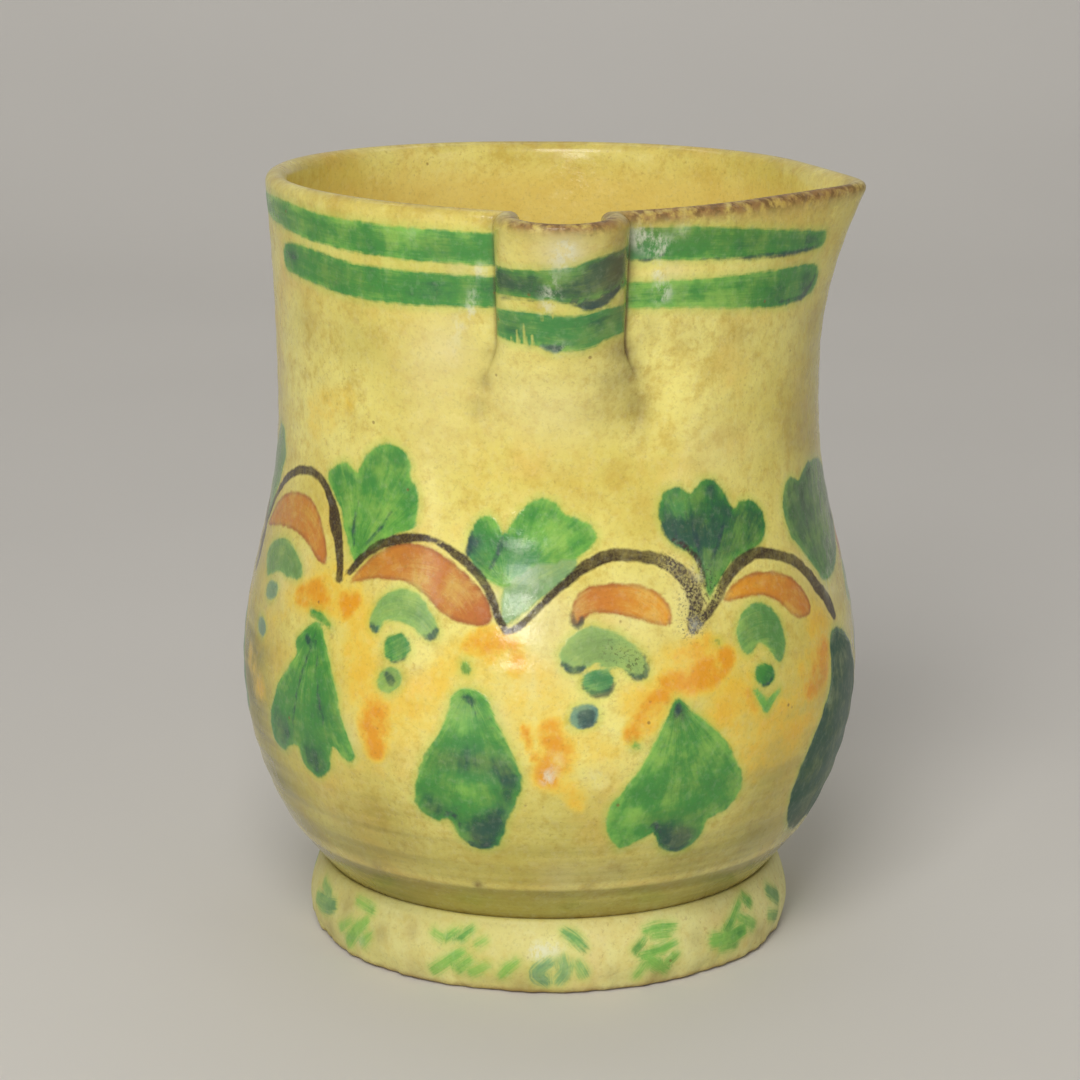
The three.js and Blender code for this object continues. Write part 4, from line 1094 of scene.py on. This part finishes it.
def makeCollar():
    rounding = clay["neckWall"] / 2
    top = clay["rimAt"] - rounding
    outerRows = [(z, 0.0) for z in neckLine[:, 1] if z < top - collar["rimClear"]]
    turns = np.linspace(0, math.pi, collar["rimRows"] + 1)
    rimRows = [(top + rounding * math.sin(a), rounding * (1 - math.cos(a))) for a in turns]
    levels = np.arange(top - collar["insideFrom"], clay["shoulderAt"], -collar["insideStep"])
    insideRows = [(z, float(clay["neckWall"])) for z in [*levels, clay["shoulderAt"]]]
    rows = outerRows + rimRows + insideRows
    seatAt = clay["rimAt"] - mouth["lipSeat"]
    lipN, total = collar["lipColumns"], collar["lipColumns"] + collar["columns"]
    grid = []
    angles = []
    for z, inset in rows:
        half = float(halfLip(z, inset))
        lipPart = half * np.sin(np.pi * (np.arange(lipN) / lipN - .5))
        rest = half + (360 - 2 * half) * np.arange(collar["columns"]) / collar["columns"]
        angles.append(wrapped(np.concatenate([lipPart, rest])))
        grid.append(wallPoints(angles[-1], np.full(total, z), inset))
    points = np.array(grid).reshape(-1, 3)
    phi = np.array(angles).ravel()
    level = np.repeat([z for z, inset in rows], total)
    inset = np.repeat([inset for z, inset in rows], total)
    lipFaces, neckFaces = [], []
    lipRows = [k for k, (z, i) in enumerate(rows) if z >= seatAt]
    first, last = lipRows[0], lipRows[-1]
    for k in range(len(rows)):
        after = (k + 1) % len(rows)
        for c in range(total):
            n = (c + 1) % total
            quad = (k * total + c, k * total + n, after * total + n, after * total + c)
            (lipFaces if c < lipN and first <= k < last else neckFaces).append(quad)
    left = [k * total for k in lipRows]
    right = [k + lipN for k in left]
    low, high = first * total, last * total
    bottom = [(low + c, high + c, high + c + 1, low + c + 1) for c in range(lipN)]
    normals = wallNormals(points, lipFaces + neckFaces)
    seam = level == clay["shoulderAt"]
    normals[seam] = seamNormals(phi[seam], inset[seam] == 0)
    neckFaces += [left[::-1], right] + [quad[::-1] for quad in bottom]
    lipFaces += [left, right[::-1]] + bottom
    for name, node, faces in (("neckClay", "neck", neckFaces), ("lipClay", "pouring_lip", lipFaces)):
        used = np.unique(np.concatenate([np.array(f) for f in faces]))
        place = np.full(len(points), -1)
        place[used] = np.arange(len(used))
        piece = newObject(name, points[used] * mm, [place[list(f)] for f in faces], paintedGlaze)
        outwards(piece.data)
        canvas = Canvas(phi[used], level[used])
        if node == "neck":
            paintBody(canvas)
            canvas.leaves(neckBands)
        else:
            canvas.leaves(lipBands)
            for gap in lipGaps:
                canvas.stroke("bare", gap)
            canvas.leaves(lipDark)
        canvas.soil()
        dressCollar(canvas, inset[used])
        canvas.store(piece.data)
        piece.data.normals_split_custom_set_from_vertices([tuple(n) for n in normals[used]])
        handOver(piece, "painted_glaze", node)


def wallNormals(points, faces):  # of the whole wall, so that no edge shows where it is parted
    whole = newObject("collar", points * mm, faces)
    mesh = whole.data
    normals = np.empty(len(points) * 3)
    mesh.vertices.foreach_get("normal", normals)
    normals = normals.reshape(-1, 3)
    bpy.data.objects.remove(whole)
    bpy.data.meshes.remove(mesh)
    return normals * (1 if np.einsum("ij,ij->", normals, points * (1, 1, 0)) > 0 else -1)


def dressCollar(canvas, inset):  # rubbed rim, plain inside, and dark joint lines beside the lip with painted shade, stronger on its right
    painted = inset < collar["paintedTo"]
    canvas.clean(inset > collar["paintedTo"])
    phi, z = canvas.phi, canvas.z
    fromTop = clay["rimAt"] - z
    deep = inset > clay["neckWall"] - .01
    right = smooth(phi, *collar["rightFrom"]) * (1 - smooth(phi, *collar["rightTo"]))
    lip = np.abs(phi) < collar["lipHalf"]
    middle = np.where(lip, 1 - collar["lipLoss"] * smooth(np.abs(phi), *collar["lipFade"]), 0)
    strong = collar["worn"] + (1 - collar["worn"]) * np.maximum(right, middle)
    rubbed = np.exp(-(fromTop / collar["wornDepth"]) ** 2)
    rubbed += (np.where(lip, collar["lipRub"], collar["rightRub"] * right)
               * np.exp(-(fromTop / collar["rubbedDepth"]) ** 2))
    canvas.values["wear"] = strong * np.minimum(rubbed, 1) * ~deep
    canvas.values["inner"] = np.where(deep, collar["inner"], 0) * smooth(fromTop, *collar["innerFrom"])
    # dark joint lines with painted shade along them, full on the lip's right and weaker on its left
    joint = np.radians(np.abs(phi) - halfLip(z, 0)) * clay["rim"]
    side = np.where(phi > 0, 1, collar["leftJoint"]) * smooth(z, *collar["jointFrom"]) * painted
    canvas.values["stainAndShade"] += side * np.exp(-(joint / collar["jointLine"]) ** 2)
    canvas.values["oliveAndShade"] += collar["jointShade"] * side * np.exp(-(joint / collar["jointShadeWidth"]) ** 2)


makeCollar()

# pulled strap handle, and the clay rolled round its roots
handle = {
    "upperAt": 149.5, "lowerAt": 78, "reach": 46, "spring": 26, "return": 18,
    "upperWidth": 30, "lowerWidth": 22, "thickness": 9.5, "squareness": .6, "facets": 56, "steps": 120,
}


def strapTree():
    tree, given = newTree("pulledStrap", Vector=["Upper Root", "Upper Pull", "Lower Pull", "Lower Root"],
                          Float=["Upper Width", "Lower Width", "Thickness", "Squareness"],
                          Int=["Facets", "Steps"], Material=["Glaze"])
    path = addNode(tree, "GeometryNodeCurvePrimitiveBezierSegment", {
        "Resolution": given["Steps"], "Start": given["Upper Root"], "Start Handle": given["Upper Pull"],
        "End Handle": given["Lower Pull"], "End": given["Lower Root"]}, mode="POSITION").outputs[0]
    even = addNode(tree, "GeometryNodeResampleCurve", {"Curve": path, "Count": given["Steps"]}).outputs[0]
    level = addNode(tree, "GeometryNodeSetCurveNormal", {"Curve": even, "Normal": (1, 0, 0)}, mode="FREE")
    along = addNode(tree, "GeometryNodeSplineParameter").outputs["Factor"]
    kept = addNode(tree, "GeometryNodeCaptureAttribute", {"Geometry": level.outputs[0]}, domain="POINT")
    kept.capture_items.new("FLOAT", "Along")
    tree.links.new(along, kept.inputs["Along"])
    circle = {"Resolution": given["Facets"], "Radius": 1.0}
    ring = addNode(tree, "GeometryNodeCurvePrimitiveCircle", circle).outputs[0]
    position = addNode(tree, "GeometryNodeInputPosition").outputs[0]
    place = addNode(tree, "ShaderNodeSeparateXYZ", {0: position}).outputs
    squared = maths(tree, "MULTIPLY", maths(tree, "SIGN", place["X"]),
                    maths(tree, "POWER", maths(tree, "ABSOLUTE", place["X"]), given["Squareness"]))
    thick = maths(tree, "MULTIPLY", place["Y"], maths(tree, "MULTIPLY", given["Thickness"], .5))
    section = addNode(tree, "ShaderNodeCombineXYZ", {"X": squared, "Y": thick}).outputs[0]
    ring = addNode(tree, "GeometryNodeSetPosition", {"Geometry": ring, "Position": section}).outputs[0]
    sweep = {"Curve": kept.outputs["Geometry"], "Profile Curve": ring, "Fill Caps": True}
    swept = addNode(tree, "GeometryNodeCurveToMesh", sweep).outputs[0]
    taper = {"Value": kept.outputs["Along"], "To Min": given["Upper Width"], "To Max": given["Lower Width"]}
    width = addNode(tree, "ShaderNodeMapRange", taper).outputs[0]
    wide = addNode(tree, "ShaderNodeCombineXYZ", {
        "X": maths(tree, "MULTIPLY", place["X"], maths(tree, "MULTIPLY", width, .5)),
        "Y": place["Y"], "Z": place["Z"]}).outputs[0]
    strap = addNode(tree, "GeometryNodeSetPosition", {"Geometry": swept, "Position": wide}).outputs[0]
    finishTree(tree, strap, given["Glaze"])
    return tree


def makeStrap():
    upper, lower = float(outlineAt(handle["upperAt"])), float(outlineAt(handle["lowerAt"]))
    host = newObject("strapClay", [(0, 0, 0)])
    runTree(host, strapTree(), {
        "Upper Root": (0, (upper - clay["neckWall"] / 2) * mm, handle["upperAt"] * mm),
        "Upper Pull": (0, (upper + handle["reach"]) * mm, (handle["upperAt"] + handle["spring"]) * mm),
        "Lower Pull": (0, (lower + handle["reach"]) * mm, (handle["lowerAt"] + handle["return"]) * mm),
        "Lower Root": (0, (lower - clay["bellyWall"] / 2) * mm, handle["lowerAt"] * mm),
        "Upper Width": handle["upperWidth"] * mm, "Lower Width": handle["lowerWidth"] * mm,
        "Thickness": handle["thickness"] * mm, "Squareness": handle["squareness"],
        "Facets": handle["facets"], "Steps": handle["steps"], "Glaze": plainGlaze})
    handOver(host, "plain_glaze", "handle_strap")


roll = {"wide": 4.5, "proud": 6, "rings": 20, "spokes": 96, "pressed": (.05, .04), "crown": .75,
        "edgeSink": .1, "underSink": 1.5, "underShare": .97}


def makeRoll(name, node, height, width):
    rings, spokes = roll["rings"], roll["spokes"]
    halfWide, halfTall = width / 2 + roll["wide"], handle["thickness"] / 2 + roll["wide"]
    hand = random.Random(brush["seed"] + int(height))
    lean = [hand.uniform(0, 2 * math.pi) for k in range(2)]

    def spot(share, s, proud):  # on the wall, and proud of it
        angle = 2 * math.pi * s / spokes
        pressed = 1 + roll["pressed"][0] * math.sin(3 * angle + lean[0])
        pressed += roll["pressed"][1] * math.sin(5 * angle + lean[1])
        x = halfWide * share * math.cos(angle) * pressed
        z = height + halfTall * share * math.sin(angle) * pressed
        wall = math.sqrt(float(outlineAt(z)) ** 2 - x * x)
        return (x * mm, (wall + proud) * mm, z * mm)

    points = [spot(0, 0, roll["proud"])]
    for k in range(1, rings + 1):
        share = k / rings
        proud = roll["proud"] * (1 - share ** 2) ** roll["crown"] - roll["edgeSink"] * share
        points += [spot(share, s, proud) for s in range(spokes)]
    under = len(points)
    points += [spot(roll["underShare"], s, -roll["underSink"]) for s in range(spokes)]
    points.append(spot(0, 0, -roll["underSink"]))
    sides = [(s, (s + 1) % spokes) for s in range(spokes)]
    faces = [(0, 1 + s, 1 + n) for s, n in sides]
    for low in range(1, under, spokes):
        high = low + spokes
        faces += [(low + s, high + s, high + n, low + n) for s, n in sides]
    faces += [(under + spokes, under + n, under + s) for s, n in sides]
    piece = newObject(name, points, faces, plainGlaze)
    outwards(piece.data)
    handOver(piece, "plain_glaze", node)


makeStrap()
makeRoll("upperRoll", "handle_upper_joint", handle["upperAt"], handle["upperWidth"])
makeRoll("lowerRoll", "handle_lower_joint", handle["lowerAt"], handle["lowerWidth"])

# floor, light and camera
studio = {
    "paper": (214, 212, 208), "paperShade": .97, "paperRough": .75, "paperHalf": 3, "paperFrom": -2.5,
    "bendFrom": .9, "bend": .8, "bendAngles": (.1, 1.5, 15), "paperTop": (1.72, 2.6),
    "world": .2, "worldColour": (1, .985, .96, 1), "lampColour": (1, .97, .93), "aim": (0, 0, .09),
    "cameraAt": (-.0331, -.8243, .300), "pitch": 14.05, "yaw": -2.155, "lens": 118.6, "sensor": 36,
}
lamps = {
    "key": {"at": (-.23, -1.07, 1.0), "size": (.6, .6), "power": 12.2},
    "front": {"at": (-.33, -1.31, .48), "size": (.22, .32), "power": 2.7},
    "fill": {"at": (1.2, -.9, .7), "size": (1.0, 1.0), "power": 0.9},
    "leftStrip": {"at": (-.67, -.6, .25), "size": (.12, .6), "power": .5},
    "rightStrip": {"at": (.65, -.62, .25), "size": (.12, .6), "power": .28},
    "backdrop": {"at": (0, .8, 1.7), "size": (2.2, .6), "power": 9, "aim": (0, 1.7, .5)},
}


def makePaper():
    start, bend, half = studio["bendFrom"], studio["bend"], studio["paperHalf"]
    rows = [(studio["paperFrom"], 0), (start, 0)]
    for angle in np.linspace(*studio["bendAngles"]):
        rows.append((start + bend * math.sin(angle), bend - bend * math.cos(angle)))
    rows.append(studio["paperTop"])
    points = [(x, y, z) for y, z in rows for x in (-half, half)]
    faces = [(2 * k, 2 * k + 1, 2 * k + 3, 2 * k + 2) for k in range(len(rows) - 1)]
    stack = Stack("palePaper", {"paper": studio["paper"]})
    shaded = tuple(studio["paperShade"] * part for part in tone(*studio["paper"])[:3]) + (1,)
    stack.body = stack.blend(stack.grain("paper"), "paper", shaded)
    sweep = newObject("paleFloor", points, faces, stack.finish({"Roughness": studio["paperRough"]}))


def makeLamp(name, at, size, power, aim=studio["aim"]):
    lamp = bpy.data.lights.new(name, "AREA")
    lamp.shape = "RECTANGLE"
    lamp.size, lamp.size_y = size
    lamp.energy = power
    lamp.color = studio["lampColour"]
    spot = bpy.data.objects.new(name, lamp)
    bpy.context.scene.collection.objects.link(spot)
    away = np.array(at) - np.array(aim)
    spot.location = at
    tilt = math.atan2(math.hypot(away[0], away[1]), away[2])
    spot.rotation_euler = (tilt, 0, math.atan2(away[0], -away[1]))


def makeStudio():
    makePaper()
    world = bpy.data.worlds.new("studio")
    bpy.context.scene.world = world
    world.use_nodes = True
    sky = world.node_tree.nodes["Background"]
    sky.inputs["Color"].default_value = studio["worldColour"]
    sky.inputs["Strength"].default_value = studio["world"]
    for name, settings in lamps.items():
        makeLamp(name, **settings)
    lens = bpy.data.cameras.new("camera")
    lens.sensor_width = studio["sensor"]
    lens.sensor_fit = "HORIZONTAL"
    lens.lens = studio["lens"]
    camera = bpy.data.objects.new("camera", lens)
    camera.location = studio["cameraAt"]
    camera.rotation_euler = (math.radians(90 - studio["pitch"]), 0, math.radians(studio["yaw"]))
    bpy.context.scene.collection.objects.link(camera)
    bpy.context.scene.camera = camera
    bpy.context.scene.view_settings.view_transform = "Standard"
    print("studio set")


makeStudio()
